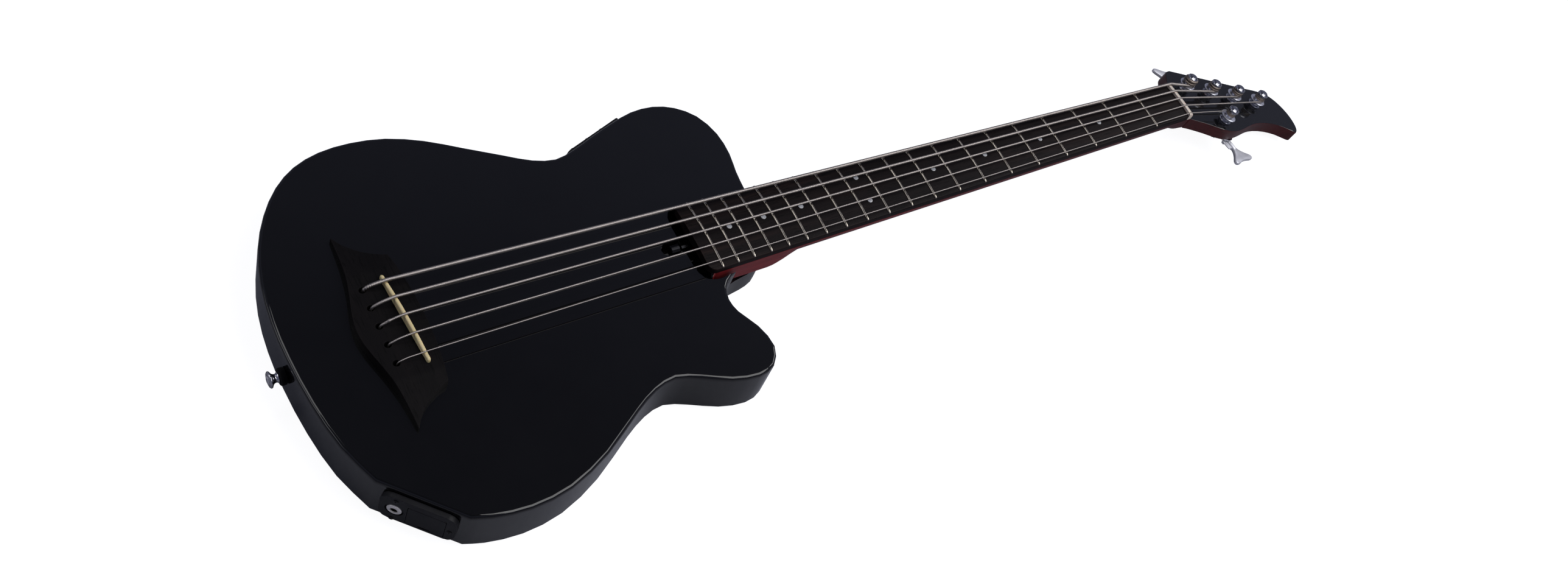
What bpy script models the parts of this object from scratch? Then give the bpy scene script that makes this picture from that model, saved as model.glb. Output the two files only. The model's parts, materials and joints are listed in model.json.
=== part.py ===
"""Five-string semi-acoustic bass guitar with a chambered body, cutaway and 4+1 tilted headstock.

Frame: X runs along the neck towards the headstock, +Y is the thick-string side, +Z points out of
the top. The origin lies on the centreline, under the open-string scale end, on the body's flat back.
All dimensions below are in millimetres; MM turns them into scene metres as each mesh is made.
"""

import math

import bmesh
import bpy
from mathutils import Matrix, Vector

MM = 0.001
GAP = 0.3                      # clearance kept between neighbouring pieces

# ---- scale, frets and fingerboard ---------------------------------------------------------------
SCALE_LENGTH = 863.6           # nut to scale end (34 inches)
FRET_COUNT = 20
BOARD_EDGE_Z = 56.0            # plane of the fingerboard's long edges
BOARD_THICK = 6.0
BOARD_RADIUS = 241.0           # crown radius of the fingerboard
BOARD_END_X = 259.0
BOARD_CORNER = 8.0
HALF_WIDTH_NUT = 22.4
HALF_WIDTH_20 = 36.6           # half width at the last fret
FRET_WIDTH = 2.6
FRET_HEIGHT = 1.1

# ---- body ---------------------------------------------------------------------------------------
BODY_TOP_Z = 48.0
SOUNDBOARD_THICK = 5.0
EDGE_ROUND = 3.0
BACK_ROUND = 1.6
BACK_THICK = 7.0               # wood left under the chambers
LEDGE_Z = 26.0                 # floor of the neck pocket
POCKET_WIDE = 39.5             # treble half width of the pocket beyond the cutaway tip
NOTCH_X, NOTCH_R = 237.0, 6.5  # truss rod access notch
NOTCH_FLOOR_Z = 36.0
FACET_A = (-77.0, -119.8)      # flat on the lower rim that carries the jack plate
FACET_B = (-23.7, -173.1)

# The rim from FACET_B anticlockwise round the horn, neck ledge and tail, back to FACET_A.
RIM = [
    FACET_B, (-7.1, -178.5), (24, -182.3), (60.2, -177.6), (100.3, -160.5), (140.3, -134.9),
    (163.1, -122.6), (184, -117.7), (204.9, -124.7), (229.9, -135.7), (255, -140.1),
    (272.3, -134.9), (282.5, -118.2), (278.5, -95.1), (268.5, -76), (266.4, -63), (270.2, -51.1),
    (280, -42), (293, -37), (307, -34.5), (321, -30), (331, -21), (337, -6), (338.9, 15),
    (339.1, 38), (341.3, 59.9), (345.2, 79.9), (344.8, 104.5), (335.5, 128.7), (318.5, 143.9),
    (298.4, 150.7), (274.8, 150), (249.6, 142.4), (224.6, 133), (203.6, 124.5), (184, 119.4),
    (163.6, 124.1), (140.9, 136.3), (111.1, 152.9), (81, 169.6), (50.5, 180.6), (20, 184),
    (-8.4, 181.3), (-32.9, 172.1), (-53.3, 156.3), (-71.4, 132.9), (-86.4, 103.6), (-96, 70.3),
    (-100.4, 35.1), (-100.8, 0), (-97.7, -43.1), (-90.1, -85.3), FACET_A,
]
RIM_STEPS = 2
CHAMBER_BASS = [
    (-72, 52), (-74, 84), (-58, 122), (-26, 158), (20, 169), (64, 160), (112, 135), (150, 112),
    (185, 104), (214, 112), (250, 126), (285, 128), (296, 96), (270, 66), (215, 54), (80, 48),
]
CHAMBER_TREBLE = [
    (-70, -48), (-71, -86), (-52, -122), (-22, -150), (24, -168), (62, -162), (112, -136),
    (150, -113), (186, -104), (214, -112), (244, -122), (262, -108), (248, -80), (215, -58),
    (80, -47),
]
CHAMBER_STEPS = 2
POCKET_BULGE = [(251, -20), (252.4, -31), (258, -38.6), (266, -41.6), (276, -41), (286, -38.9)]

# ---- neck and headstock -------------------------------------------------------------------------
NECK_END_X = 262.5             # the board overhangs the neck's end a little
NECK_TOP_Z = BOARD_EDGE_Z - BOARD_THICK - GAP
HEEL_END_X = 328.0             # flat heel bottom ends here
HEEL_BLEND_X = 356.0           # round neck profile begins here
NECK_BACK_HEEL_Z = 33.8        # neck back on the centreline at the heel
NECK_BACK_NUT_Z = 37.2         # and at the nut
HEAD_X = 870.0                 # headstock face starts here
VOLUTE_X, VOLUTE_END_X = 840.0, 860.0   # neck back squares off into the headstock between these
HEAD_TILT = math.radians(12.0)
HEAD_THICK = 14.5
# Headstock outline (distance along the tilted face, y).
HEAD_OUTLINE = [
    (-0.3, 22.6), (2.5, 24.5), (9, 31.5), (15, 39.8), (20, 43.9), (26.7, 45), (57.2, 35.8),
    (98.8, 23), (141, 10.1), (162.4, 3.5), (172.2, -2.8), (178.5, -11.6), (182.1, -22.9),
    (183.1, -34), (181.3, -45), (177.6, -53.2), (171.8, -57.9), (165.5, -55.1), (154, -47.9),
    (137.7, -42.1), (118, -39.1), (102, -39.7), (86, -42.8), (69.4, -45.4), (56.3, -45.1),
    (44, -41.5), (26.3, -33), (9.6, -26.1), (-0.3, -22.6),
]

# ---- tuners -------------------------------------------------------------------------------------
POST_FIRST = (28.0, 19.3)      # thickest string's post on the headstock face
POST_PITCH = 36.3
POST_LINE = math.radians(-16.9)
POST_TREBLE = (57.2, -29.1)
TREBLE_KEY_LEAN = math.radians(-82.0)
POST_R = 4.7
POST_TOP = 19.0
POST_CAP_R = 5.9
POST_WAIST_R = 4.0
POST_WAIST_Z = 9.5             # height of the string windings above the face
SPOOL_R, SPOOL_LOW, SPOOL_TOP = 8.8, 6.4, 7.4    # dish below the windings
SLEEVE_R = 6.2
FLANGE_R, FLANGE_H = 7.2, 1.8
PLATE_Z = HEAD_THICK + GAP     # base plate lies against the headstock's back
PLATE_THICK = 1.8
GEAR_R, GEAR_TOOTH, GEAR_TEETH, GEAR_THICK = 7.0, 0.8, 12, 4.0
GEAR_CLEAR = 1.4               # base plate to gear
WORM_R, SHAFT_R = 3.0, 2.0
WORM_OFFSET = GEAR_R + WORM_R + 0.4
KEY_REACH = 31.0               # post axis to the root of the key's button
KEY_LENGTH = 15.4
KEY_HALF_WIDTH = 16.2
TUNER_RATIO = 20.0             # key turns per turn of the post

# ---- strings, saddle, nut, bridge ---------------------------------------------------------------
STRING_R = [1.65, 1.33, 1.08, 0.83, 0.57]
NUT_PITCH = 10.0
SADDLE_PITCH = 17.7
NUT_ACTION = 1.5               # underside of the strings above the crown at the nut
SADDLE_ACTION = 5.2            # same at the saddle
SADDLE_X, SADDLE_SLANT = -6.4, -0.0667
SADDLE_HALF_LENGTH, SADDLE_WIDTH = 43.0, 3.2
SADDLE_FLOOR_Z = 52.0
PIEZO_THICK = 1.2
NUT_LENGTH = 5.7
BRIDGE_TOP_Z = 57.0
BRIDGE_WING_Y, BRIDGE_TIP_Y = 50.0, 92.0
BRIDGE_TIP_Z = 52.5
BRIDGE_EDGE = 0.6
ANCHOR_X, ANCHOR_R = -27.5, 2.7

# ---- electrics and fittings ---------------------------------------------------------------------
RIM_MID_Z = 24.0
PLATE_LENGTH, PLATE_HEIGHT, PLATE_PROUD = 62.0, 34.0, 5.0
PLATE_MID = (38.0, 1.2)        # along the facet, above the rim's middle
PLATE_CORNER = 9.0
JACK_ALONG, JACK_CUP_R, JACK_CUP_DEPTH = 19.4, 7.6, 1.6
DOOR_ALONG, DOOR_LENGTH, DOOR_HEIGHT = 44.8, 30.4, 24.0
DOOR_MID = -1.0
BATTERY_WIDE, BATTERY_TALL = 26.5, 17.5
BATTERY_FROM, BATTERY_TO = -4.0, -30.0
PANEL_FROM, PANEL_TO = (202.0, 125.0), (264.0, 148.8)
PANEL_HEIGHT, PANEL_PROUD = 37.0, 2.4
CASE_DEPTH = 26.0
KNOB_R, KNOB_H = 6.6, 5.2
KNOB_PITCH = 19.0
TAIL_X, TAIL_Y = -100.8, -1.0   # strap button on the tail
SHANK_R, SHANK_DEPTH = 2.2, 10.0
FELT_R, FELT_THICK = 7.3, 4.6


# ---- small tools --------------------------------------------------------------------------------
def clear_scene():
    for thing in list(bpy.data.objects):
        bpy.data.objects.remove(thing, do_unlink=True)


def material(name, colour, roughness, metallic=0.0):
    made = bpy.data.materials.new(name)
    made.use_nodes = True
    shader = made.node_tree.nodes["Principled BSDF"]
    shader.inputs["Base Color"].default_value = (*colour, 1.0)
    shader.inputs["Roughness"].default_value = roughness
    shader.inputs["Metallic"].default_value = metallic
    return made


def add_object(name, mesh, surface, place=None):
    made = bpy.data.objects.new(name, mesh)
    bpy.context.scene.collection.objects.link(made)
    if surface is not None and not mesh.materials:
        mesh.materials.append(surface)
    if place is not None:
        made.matrix_world = place
    return made


def loft_mesh(name, rings):
    """A closed skin over rings of equal length (points in millimetres), capped at both ends."""
    shape = bmesh.new()
    rows = [[shape.verts.new(Vector(point) * MM) for point in ring] for ring in rings]
    for low, high in zip(rows, rows[1:]):
        for i in range(len(low)):
            j = (i + 1) % len(low)
            shape.faces.new((low[i], low[j], high[j], high[i]))
    shape.faces.new(rows[0][::-1])
    shape.faces.new(rows[-1])
    bmesh.ops.recalc_face_normals(shape, faces=shape.faces)
    mesh = bpy.data.meshes.new(name)
    shape.to_mesh(mesh)
    shape.free()
    mesh.shade_smooth()
    mesh.set_sharp_from_angle(angle=math.radians(35))
    return mesh


def prism_rings(outline, low, high):
    return [[(x, y, z) for x, y in outline] for z in (low, high)]


def circle(radius, count, z=0.0, centre=(0.0, 0.0)):
    turn = 2 * math.pi / count
    return [(centre[0] + radius * math.cos(i * turn), centre[1] + radius * math.sin(i * turn), z)
            for i in range(count)]


def lathe_rings(profile, count):
    """Rings for a turned piece; profile lists (radius, height)."""
    return [circle(radius, count, z) for radius, z in profile]


def spline(points, steps, closed=False):
    """Centripetal Catmull-Rom curve through the points, with the given steps on each stretch."""
    knots = [Vector(p) for p in points]
    count = len(knots)
    curve = []
    for i in range(count if closed else count - 1):
        if closed:
            a, b, c, d = (knots[(i + k) % count] for k in (-1, 0, 1, 2))
        else:
            b, c = knots[i], knots[i + 1]
            a = knots[i - 1] if i else b * 2 - c
            d = knots[i + 2] if i + 2 < count else c * 2 - b
        gaps = [max((q - p).length, 1e-6) ** 0.5 for p, q in ((a, b), (b, c), (c, d))]
        slope_b = ((b - a) / gaps[0] - (c - a) / (gaps[0] + gaps[1]) + (c - b) / gaps[1]) * gaps[1]
        slope_c = ((c - b) / gaps[1] - (d - b) / (gaps[1] + gaps[2]) + (d - c) / gaps[2]) * gaps[1]
        for k in range(steps):
            t = k / steps
            curve.append(b * (2 * t**3 - 3 * t**2 + 1) + slope_b * (t**3 - 2 * t**2 + t)
                         + c * (3 * t**2 - 2 * t**3) + slope_c * (t**3 - t**2))
    if not closed:
        curve.append(knots[-1])
    return [tuple(p) for p in curve]


def inset(outline, distance):
    """An anticlockwise outline moved inwards along its corner normals."""
    moved = []
    count = len(outline)
    for i, (x, y) in enumerate(outline):
        before, after = outline[i - 1], outline[(i + 1) % count]
        tangent = Vector((after[0] - before[0], after[1] - before[1])).normalized()
        moved.append((x - tangent.y * distance, y + tangent.x * distance))
    return moved


def axes_place(origin, x_axis, y_axis, z_axis):
    """A placing matrix from an origin in millimetres and three unit axes."""
    place = Matrix((x_axis, y_axis, z_axis)).transposed().to_4x4()
    place.translation = Vector(origin) * MM
    return place


def boolean(target, tool, operation):
    step = target.modifiers.new(f"{operation.lower()}_{tool.name}", "BOOLEAN")
    step.operation = operation
    step.solver = "EXACT"
    step.object = tool
    tool.hide_render = True
    tool.display_type = "WIRE"


def tool_body(name, rings, place=None):
    made = add_object(name, loft_mesh(name, rings), None, place)
    made.hide_render = True
    made.display_type = "WIRE"
    return made


def baked(target):
    """The object's shape with its modifiers applied, as a mesh that copies can share."""
    bpy.context.view_layer.update()
    view = target.evaluated_get(bpy.context.evaluated_depsgraph_get())
    mesh = bpy.data.meshes.new_from_object(view)
    mesh.name = target.name
    return mesh


def box_rings(size_x, size_y, low, high, corner=0.0, centre=(0.0, 0.0)):
    """A box, or a rounded one when corner is above zero."""
    half_x, half_y = size_x / 2, size_y / 2
    if corner == 0:
        flat = [(-half_x, -half_y), (half_x, -half_y), (half_x, half_y), (-half_x, half_y)]
    else:
        flat = []
        for quarter, (sx, sy) in enumerate(((1, 1), (-1, 1), (-1, -1), (1, -1))):
            for k in range(4):
                angle = math.radians(90 * quarter + 30 * k)
                flat.append((sx * (half_x - corner) + corner * math.cos(angle),
                             sy * (half_y - corner) + corner * math.sin(angle)))
    return prism_rings([(x + centre[0], y + centre[1]) for x, y in flat], low, high)


# ---- shared geometry ----------------------------------------------------------------------------
def half_width(x):
    taper = (HALF_WIDTH_20 - HALF_WIDTH_NUT) / (SCALE_LENGTH - fret_x(FRET_COUNT))
    return HALF_WIDTH_NUT + taper * (SCALE_LENGTH - x)


def fret_x(number):
    return SCALE_LENGTH * 2 ** (-number / 12)


def crown(y, half):
    return (half * half - y * y) / (2 * BOARD_RADIUS)


def end_rounded(x, end_x, corner):
    """Half width near an end whose plan corners are rounded."""
    into = min(x - end_x, corner)
    return half_width(x) - corner + math.sqrt(max(corner**2 - (corner - into) ** 2, 0.0))


def string_low_z(index, x):
    """Underside of a string over the fingerboard, on the straight line from saddle to nut."""
    nut_y, saddle_y = string_nut_y(index), string_saddle_y(index)
    nut_z = BOARD_EDGE_Z + crown(nut_y, HALF_WIDTH_NUT) + NUT_ACTION
    saddle_z = BOARD_EDGE_Z + crown(saddle_y, 2 * SADDLE_PITCH + 1) + SADDLE_ACTION
    share = (x - saddle_x(saddle_y)) / (SCALE_LENGTH - saddle_x(saddle_y))
    return saddle_z + (nut_z - saddle_z) * share


def string_nut_y(index):
    return (2 - index) * NUT_PITCH


def string_saddle_y(index):
    return (2 - index) * SADDLE_PITCH


def saddle_x(y):
    return SADDLE_X + SADDLE_SLANT * y


HEAD_ALONG = Vector((math.cos(HEAD_TILT), 0, -math.sin(HEAD_TILT)))
HEAD_UP = Vector((math.sin(HEAD_TILT), 0, math.cos(HEAD_TILT)))
HEAD_ORIGIN = Vector((HEAD_X, 0, NECK_TOP_Z))
HEAD_PLACE = axes_place(HEAD_ORIGIN, HEAD_ALONG, Vector((0, 1, 0)), HEAD_UP)


def head_point(along, y, height):
    return HEAD_ORIGIN + HEAD_ALONG * along + Vector((0, y, 0)) + HEAD_UP * height


def post_spots():
    """Post position on the face, the key's direction and the side its worm runs on, per string."""
    line = Vector((math.cos(POST_LINE), math.sin(POST_LINE)))
    bass_key = Vector((-line.y, line.x))
    spots = [(Vector(POST_FIRST) + line * POST_PITCH * i, bass_key, -1) for i in range(4)]
    treble_key = Vector((math.cos(TREBLE_KEY_LEAN), math.sin(TREBLE_KEY_LEAN)))
    spots.append((Vector(POST_TREBLE), treble_key, 1))
    return spots


def tuner_place(spot, key_direction, hand):
    """X along the key shaft, Y towards the worm, Z out of the headstock face; hand mirrors Y."""
    x_axis = HEAD_ALONG * key_direction.x + Vector((0, key_direction.y, 0))
    y_axis = HEAD_UP.cross(x_axis)
    return axes_place(head_point(spot.x, spot.y, 0), x_axis, y_axis, HEAD_UP)


# ---- body ---------------------------------------------------------------------------------------
def rounded_slab(outline, low, high, round_low, round_high, steps=3):
    rings = []
    for k in range(steps + 1 if round_low else 1):
        angle = math.pi / 2 * k / steps if round_low else 0.0
        shrink = round_low * (1 - math.sin(angle))
        rings.append((inset(outline, shrink) if shrink > 1e-6 else outline,
                      low + round_low * (1 - math.cos(angle))))
    for k in range(steps + 1 if round_high else 1):
        angle = math.pi / 2 * k / steps if round_high else 0.0
        shrink = round_high * (1 - math.cos(angle))
        rings.append((inset(outline, shrink) if shrink > 1e-6 else outline,
                      high - round_high * (1 - math.sin(angle))))
    return [[(x, y, z) for x, y in ring] for ring, z in rings]


def pocket_outline():
    treble = spline(POCKET_BULGE, 2)
    bass = [(x, -y) for x, y in treble if x < 262]
    far = HEEL_BLEND_X + 30
    outline = treble + [(288, -POCKET_WIDE), (far, -POCKET_WIDE), (far, half_width(far) + 2 * GAP),
                        (272, half_width(272) + 2 * GAP)]
    return outline + bass[::-1]


def notch_outline():
    turn = [math.radians(90 + 180 * k / 8) for k in range(9)]
    arc = [(NOTCH_X + NOTCH_R * math.cos(a), NOTCH_R * math.sin(a)) for a in turn]
    return arc + [(NECK_END_X - 2, -NOTCH_R), (NECK_END_X - 2, NOTCH_R)]


def facet_place():
    """X along the facet, Y up, Z straight out of it, from the facet's mid height at FACET_A."""
    along = Vector((FACET_B[0] - FACET_A[0], FACET_B[1] - FACET_A[1], 0)).normalized()
    up = Vector((0, 0, 1))
    return axes_place((*FACET_A, RIM_MID_Z), along, up, along.cross(up))


def panel_place():
    """X along the preamp panel towards the tail, Y up, Z straight out of the rim."""
    start, end = Vector(PANEL_FROM), Vector(PANEL_TO)
    along = (start - end).normalized().to_3d()
    middle = (start + end) / 2
    up = Vector((0, 0, 1))
    return axes_place((middle.x, middle.y, RIM_MID_Z), along, up, along.cross(up))


def make_body(black):
    rim = spline(RIM, RIM_STEPS)
    block = add_object("body", loft_mesh("body", rounded_slab(
        rim, 0, BODY_TOP_Z - SOUNDBOARD_THICK - GAP, BACK_ROUND, 0)), black)
    board = add_object("soundboard", loft_mesh("soundboard", rounded_slab(
        rim, BODY_TOP_Z - SOUNDBOARD_THICK, BODY_TOP_Z, 0, EDGE_ROUND)), black)
    above = BODY_TOP_Z + 20
    for name, outline in (("chamber_bass", CHAMBER_BASS[::-1]), ("chamber_treble", CHAMBER_TREBLE)):
        hollow = spline(outline, CHAMBER_STEPS, closed=True)
        boolean(block, tool_body(name, prism_rings(hollow, BACK_THICK, above)), "DIFFERENCE")
    pocket = tool_body("neck_pocket", prism_rings(pocket_outline(), LEDGE_Z, above))
    notch = tool_body("truss_notch", prism_rings(notch_outline(), NOTCH_FLOOR_Z, above))
    for piece in (block, board):
        boolean(piece, pocket, "DIFFERENCE")
        boolean(piece, notch, "DIFFERENCE")
    boolean(block, tool_body("battery_room", box_rings(
        PLATE_LENGTH - 8, PLATE_HEIGHT - 7, -34, 5, centre=PLATE_MID), facet_place()), "DIFFERENCE")
    boolean(block, tool_body("preamp_room", box_rings(
        56, PANEL_HEIGHT - 7, -CASE_DEPTH - 4, 20), panel_place()), "DIFFERENCE")


# ---- neck, headstock, fingerboard ---------------------------------------------------------------
def neck_section(x, count=12):
    """Flat top, then sides and back as a squarish heel that eases into a round profile."""
    blend = min(max((x - HEEL_END_X) / (HEEL_BLEND_X - HEEL_END_X), 0.0), 1.0)
    blend = blend * blend * (3 - 2 * blend)
    width = half_width(x) if x > NECK_END_X + BOARD_CORNER else end_rounded(x, NECK_END_X, BOARD_CORNER)
    straight = (x - HEEL_BLEND_X) / (SCALE_LENGTH - HEEL_BLEND_X)
    round_low = NECK_BACK_HEEL_Z + (NECK_BACK_NUT_Z - NECK_BACK_HEEL_Z) * max(straight, 0.0)
    low = (LEDGE_Z + GAP) * (1 - blend) + round_low * blend
    squared = min(max((x - VOLUTE_X) / (VOLUTE_END_X - VOLUTE_X), 0.0), 1.0) ** 2
    head_back = NECK_TOP_Z - (HEAD_THICK + (x - HEAD_X) * math.sin(HEAD_TILT)) / math.cos(HEAD_TILT)
    low = min(low, head_back)
    power = 2 / (14 * (1 - blend) + (2.3 + 18 * squared) * blend)
    side = 2.0 * blend
    ring = [(x, width, NECK_TOP_Z), (x, -width, NECK_TOP_Z)]
    for k in range(count + 1):
        angle = math.pi * k / count
        across = -width * math.copysign(abs(math.cos(angle)) ** power, math.cos(angle))
        drop = (NECK_TOP_Z - side - low) * math.sin(angle) ** power
        ring.append((x, across, NECK_TOP_Z - side - drop - 0.01))
    return ring


def make_neck(red):
    stations = [NECK_END_X, NECK_END_X + 0.8, NECK_END_X + 2.5, NECK_END_X + 5, NECK_END_X + 8, 300,
                HEEL_END_X, 333, 338, 343, 349, HEEL_BLEND_X, 520, 700, VOLUTE_X, 844,
                848, 852, 856, VOLUTE_END_X, HEAD_X]
    rings = [neck_section(x) for x in stations]
    tail = neck_section(HEAD_X)
    for run in (12.0, 26.0):       # the end that dives into the headstock
        shrink = 1 - run / 60
        top = head_point(run, 0, -1.5)
        rings.append([(top.x, y * shrink, top.z + (z - NECK_TOP_Z) * 0.62) for _, y, z in tail])
    neck = add_object("neck", loft_mesh("neck", rings), red)
    outline = spline(HEAD_OUTLINE[:6], 2) + spline(HEAD_OUTLINE[8:], 2)
    head = tool_body("head_blank", rounded_slab(outline[::-1], -HEAD_THICK, 0, 1.2, 0.8, 2), HEAD_PLACE)
    boolean(neck, head, "UNION")
    for i, (spot, _, _) in enumerate(post_spots()):
        hole = tool_body(f"post_hole_{i + 1}", lathe_rings(
            [(SLEEVE_R + GAP, -HEAD_THICK - 5), (SLEEVE_R + GAP, 5)], 16),
            HEAD_PLACE @ Matrix.Translation(Vector((spot.x, spot.y, 0)) * MM))
        boolean(neck, hole, "DIFFERENCE")
    channel = tool_body("rod_channel", [[(x, y, z) for y, z in ((-3.6, 41), (3.6, 41), (3.6, 60), (-3.6, 60))]
                                        for x in (NECK_END_X - 5, SCALE_LENGTH - 18)])
    boolean(neck, channel, "DIFFERENCE")


def make_fingerboard(wood, metal):
    stations = [BOARD_END_X, BOARD_END_X + 0.8, BOARD_END_X + 2.5, BOARD_END_X + 5,
                BOARD_END_X + BOARD_CORNER, 380, 500, 620, 740, SCALE_LENGTH]
    rings = []
    for x in stations:
        half = end_rounded(x, BOARD_END_X, BOARD_CORNER) if x < 290 else half_width(x)
        full = half_width(x)
        ring = [(x, half, BOARD_EDGE_Z - BOARD_THICK), (x, -half, BOARD_EDGE_Z - BOARD_THICK)]
        for k in range(11):
            y = -half + 2 * half * k / 10
            edge = 1.3 if k in (0, 10) else 0.0
            ring.append((x, y, BOARD_EDGE_Z + crown(y, full) - edge))
        rings.append(ring)
    add_object("fingerboard", loft_mesh("fingerboard", rings), wood)
    for number in range(1, FRET_COUNT + 1):
        x = fret_x(number)
        half = half_width(x)
        rings = []
        for k in range(9):
            y = (half - 0.4) * (-1 + k / 4)
            height = FRET_HEIGHT * (0.45 if k in (0, 8) else 1.0)
            low = BOARD_EDGE_Z + crown(y, half) + GAP
            rings.append([(x - FRET_WIDTH / 2, y, low), (x + FRET_WIDTH / 2, y, low),
                          (x + FRET_WIDTH * 0.33, y, low + height * 0.72), (x, y, low + height),
                          (x - FRET_WIDTH * 0.33, y, low + height * 0.72)])
        add_object(f"fret_{number:02d}", loft_mesh(f"fret_{number:02d}", rings), metal)


def make_nut(bone):
    rings = []
    half = HALF_WIDTH_NUT
    front = SCALE_LENGTH + GAP
    for k in range(9):
        y = (half - 0.1) * (-1 + k / 4)
        top = BOARD_EDGE_Z + crown(y, half) + NUT_ACTION - GAP
        rings.append([(front, y, BOARD_EDGE_Z - BOARD_THICK), (front + NUT_LENGTH, y, BOARD_EDGE_Z - BOARD_THICK),
                      (front + NUT_LENGTH, y, top - 1.6), (front + NUT_LENGTH * 0.6, y, top - 0.2),
                      (front, y, top)])
    add_object("nut", loft_mesh("nut", rings), bone)


def make_truss_rod(steel, nut_metal):
    along = Matrix.Rotation(math.pi / 2, 4, "Y")
    rod_z = 44.6
    place = Matrix.Translation(Vector((0, 0, rod_z)) * MM) @ along
    add_object("truss_rod", loft_mesh("truss_rod", lathe_rings([(3, 250.5), (3, SCALE_LENGTH - 20)], 8)),
               steel, place)
    profile = [(4.6, 239.2), (4.9, 239.8), (4.9, 247.6), (4.6, 248.2), (2.6, 250.2)]
    wheel = lathe_rings(profile, 12)
    socket = [circle(2.4, 12, 244.0), circle(2.6, 12, 239.2)]
    add_object("truss_rod_nut", loft_mesh("truss_rod_nut", socket + wheel), nut_metal, place)


# ---- bridge, saddle, strings --------------------------------------------------------------------
def bridge_front_x(y):
    if abs(y) <= 62.5:
        return 10.5 - 6.0 * (y / 62.5) ** 2
    share = (abs(y) - 62.5) / (BRIDGE_TIP_Y - 62.5)
    t = (-7.5 + math.sqrt(7.5**2 + 14.5 * (share * 29.5))) / 14.5   # Bezier (62.5, 70, 92) in y
    return 4.5 * (1 - t) ** 2 - 40.0 * t * (1 - t) - 31.2 * t * t


def bridge_back_x(y):
    return -33.0 + 1.1 * (y / BRIDGE_TIP_Y) ** 2 - 12.4 * math.exp(-((y / 40.0) ** 2))


def bridge_top_z(y):
    wing = max(abs(y) - BRIDGE_WING_Y, 0) / (BRIDGE_TIP_Y - BRIDGE_WING_Y)
    return BRIDGE_TOP_Z - (BRIDGE_TOP_Z - BRIDGE_TIP_Z) * wing


def make_bridge(wood, bone, sensor):
    half = [0, 10, 20, 30, 40, BRIDGE_WING_Y, 57, 62.5, 65, 68, 72, 77, 83, 89, BRIDGE_TIP_Y]
    rings = []
    for y in [-v for v in half[:0:-1]] + half:
        front, back, top = bridge_front_x(y), bridge_back_x(y), bridge_top_z(y)
        low, edge = BODY_TOP_Z + GAP, min(BRIDGE_EDGE, (front - back) / 3)
        rings.append([(back, y, low), (front, y, low), (front, y, top - edge), (front - edge, y, top),
                      (back + edge, y, top), (back, y, top - edge)])
    bridge = add_object("bridge", loft_mesh("bridge", rings), wood)
    turn = Matrix.Rotation(-math.atan(SADDLE_SLANT), 4, "Z")
    place = Matrix.Translation(Vector((SADDLE_X, 0, 0)) * MM) @ turn
    boolean(bridge, tool_body("saddle_slot", box_rings(
        SADDLE_WIDTH + 2 * GAP, 2 * (SADDLE_HALF_LENGTH + GAP), SADDLE_FLOOR_Z, 70, corner=1.5), place),
        "DIFFERENCE")
    for i in range(5):
        boolean(bridge, tool_body(f"anchor_hole_{i + 1}", [
            circle(ANCHOR_R, 12, z, (ANCHOR_X, string_saddle_y(i))) for z in (50.5, 70)]), "DIFFERENCE")
    add_object("piezo_strip", loft_mesh("piezo_strip", box_rings(
        SADDLE_WIDTH - 0.4, 2 * SADDLE_HALF_LENGTH - 4, SADDLE_FLOOR_Z + GAP,
        SADDLE_FLOOR_Z + GAP + PIEZO_THICK)), sensor, place)
    rings = []
    for k in range(13):
        y = SADDLE_HALF_LENGTH * (-1 + k / 6)
        half = SADDLE_WIDTH / 2 * (0.45 if k in (0, 12) else 1.0)
        top = BOARD_EDGE_Z + crown(min(abs(y), 37.0), 2 * SADDLE_PITCH + 1) + SADDLE_ACTION - GAP - 0.25
        low = SADDLE_FLOOR_Z + 2 * GAP + PIEZO_THICK
        rings.append([(-half, y, low), (half, y, low), (half, y, top - 1.4), (half * 0.5, y, top - 0.3),
                      (0, y, top), (-half * 0.5, y, top - 0.3), (-half, y, top - 1.4)])
    add_object("saddle", loft_mesh("saddle", rings), bone, place)


def tube_rings(path, radius, count=6):
    """Rings square to a path that stays close to one upright plane."""
    points = [Vector(p) for p in path]
    rings = []
    for i, point in enumerate(points):
        ahead = points[min(i + 1, len(points) - 1)] - points[max(i - 1, 0)]
        side = Vector((-ahead.y, ahead.x, 0)) if abs(ahead.x) > 1e-6 else Vector((0, 1, 0))
        side.normalize()
        up = ahead.cross(side).normalized()
        rings.append([point + (side * math.cos(a) + up * math.sin(a)) * radius
                      for a in (2 * math.pi * k / count for k in range(count))])
    return rings


def string_path(index):
    radius = STRING_R[index]
    saddle_y, nut_y = string_saddle_y(index), string_nut_y(index)
    x_saddle = saddle_x(saddle_y)
    z_saddle = string_low_z(index, x_saddle) + radius
    z_nut = string_low_z(index, SCALE_LENGTH) + radius
    spot, _, _ = post_spots()[index]
    side = -1 if index < 4 else 1
    reach = POST_R + 2 * GAP + radius
    tangent = head_point(spot.x + 3, spot.y + side * reach, POST_WAIST_Z)
    rise = Vector((x_saddle - ANCHOR_X, z_saddle - BRIDGE_TOP_Z))
    return [
        (ANCHOR_X - 0.6, saddle_y, 51.5), (ANCHOR_X - 0.3, saddle_y, BRIDGE_TOP_Z - 1.2),
        (ANCHOR_X + 1.6, saddle_y, BRIDGE_TOP_Z + radius + 0.9),
        (ANCHOR_X + 7.5, saddle_y, BRIDGE_TOP_Z + radius + 0.8 + rise.y * 0.34),
        (x_saddle - 1.8, saddle_y, z_saddle - 0.15), (x_saddle + 1.8, saddle_y, z_saddle),
        (SCALE_LENGTH + 0.5, nut_y, z_nut), (SCALE_LENGTH + NUT_LENGTH + 1.5, nut_y, z_nut - 0.5),
        tuple(tangent),
    ]


def make_strings(wound):
    for i, radius in enumerate(STRING_R):
        add_object(f"string_{i + 1}", loft_mesh(f"string_{i + 1}", tube_rings(string_path(i), radius)), wound)


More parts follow.
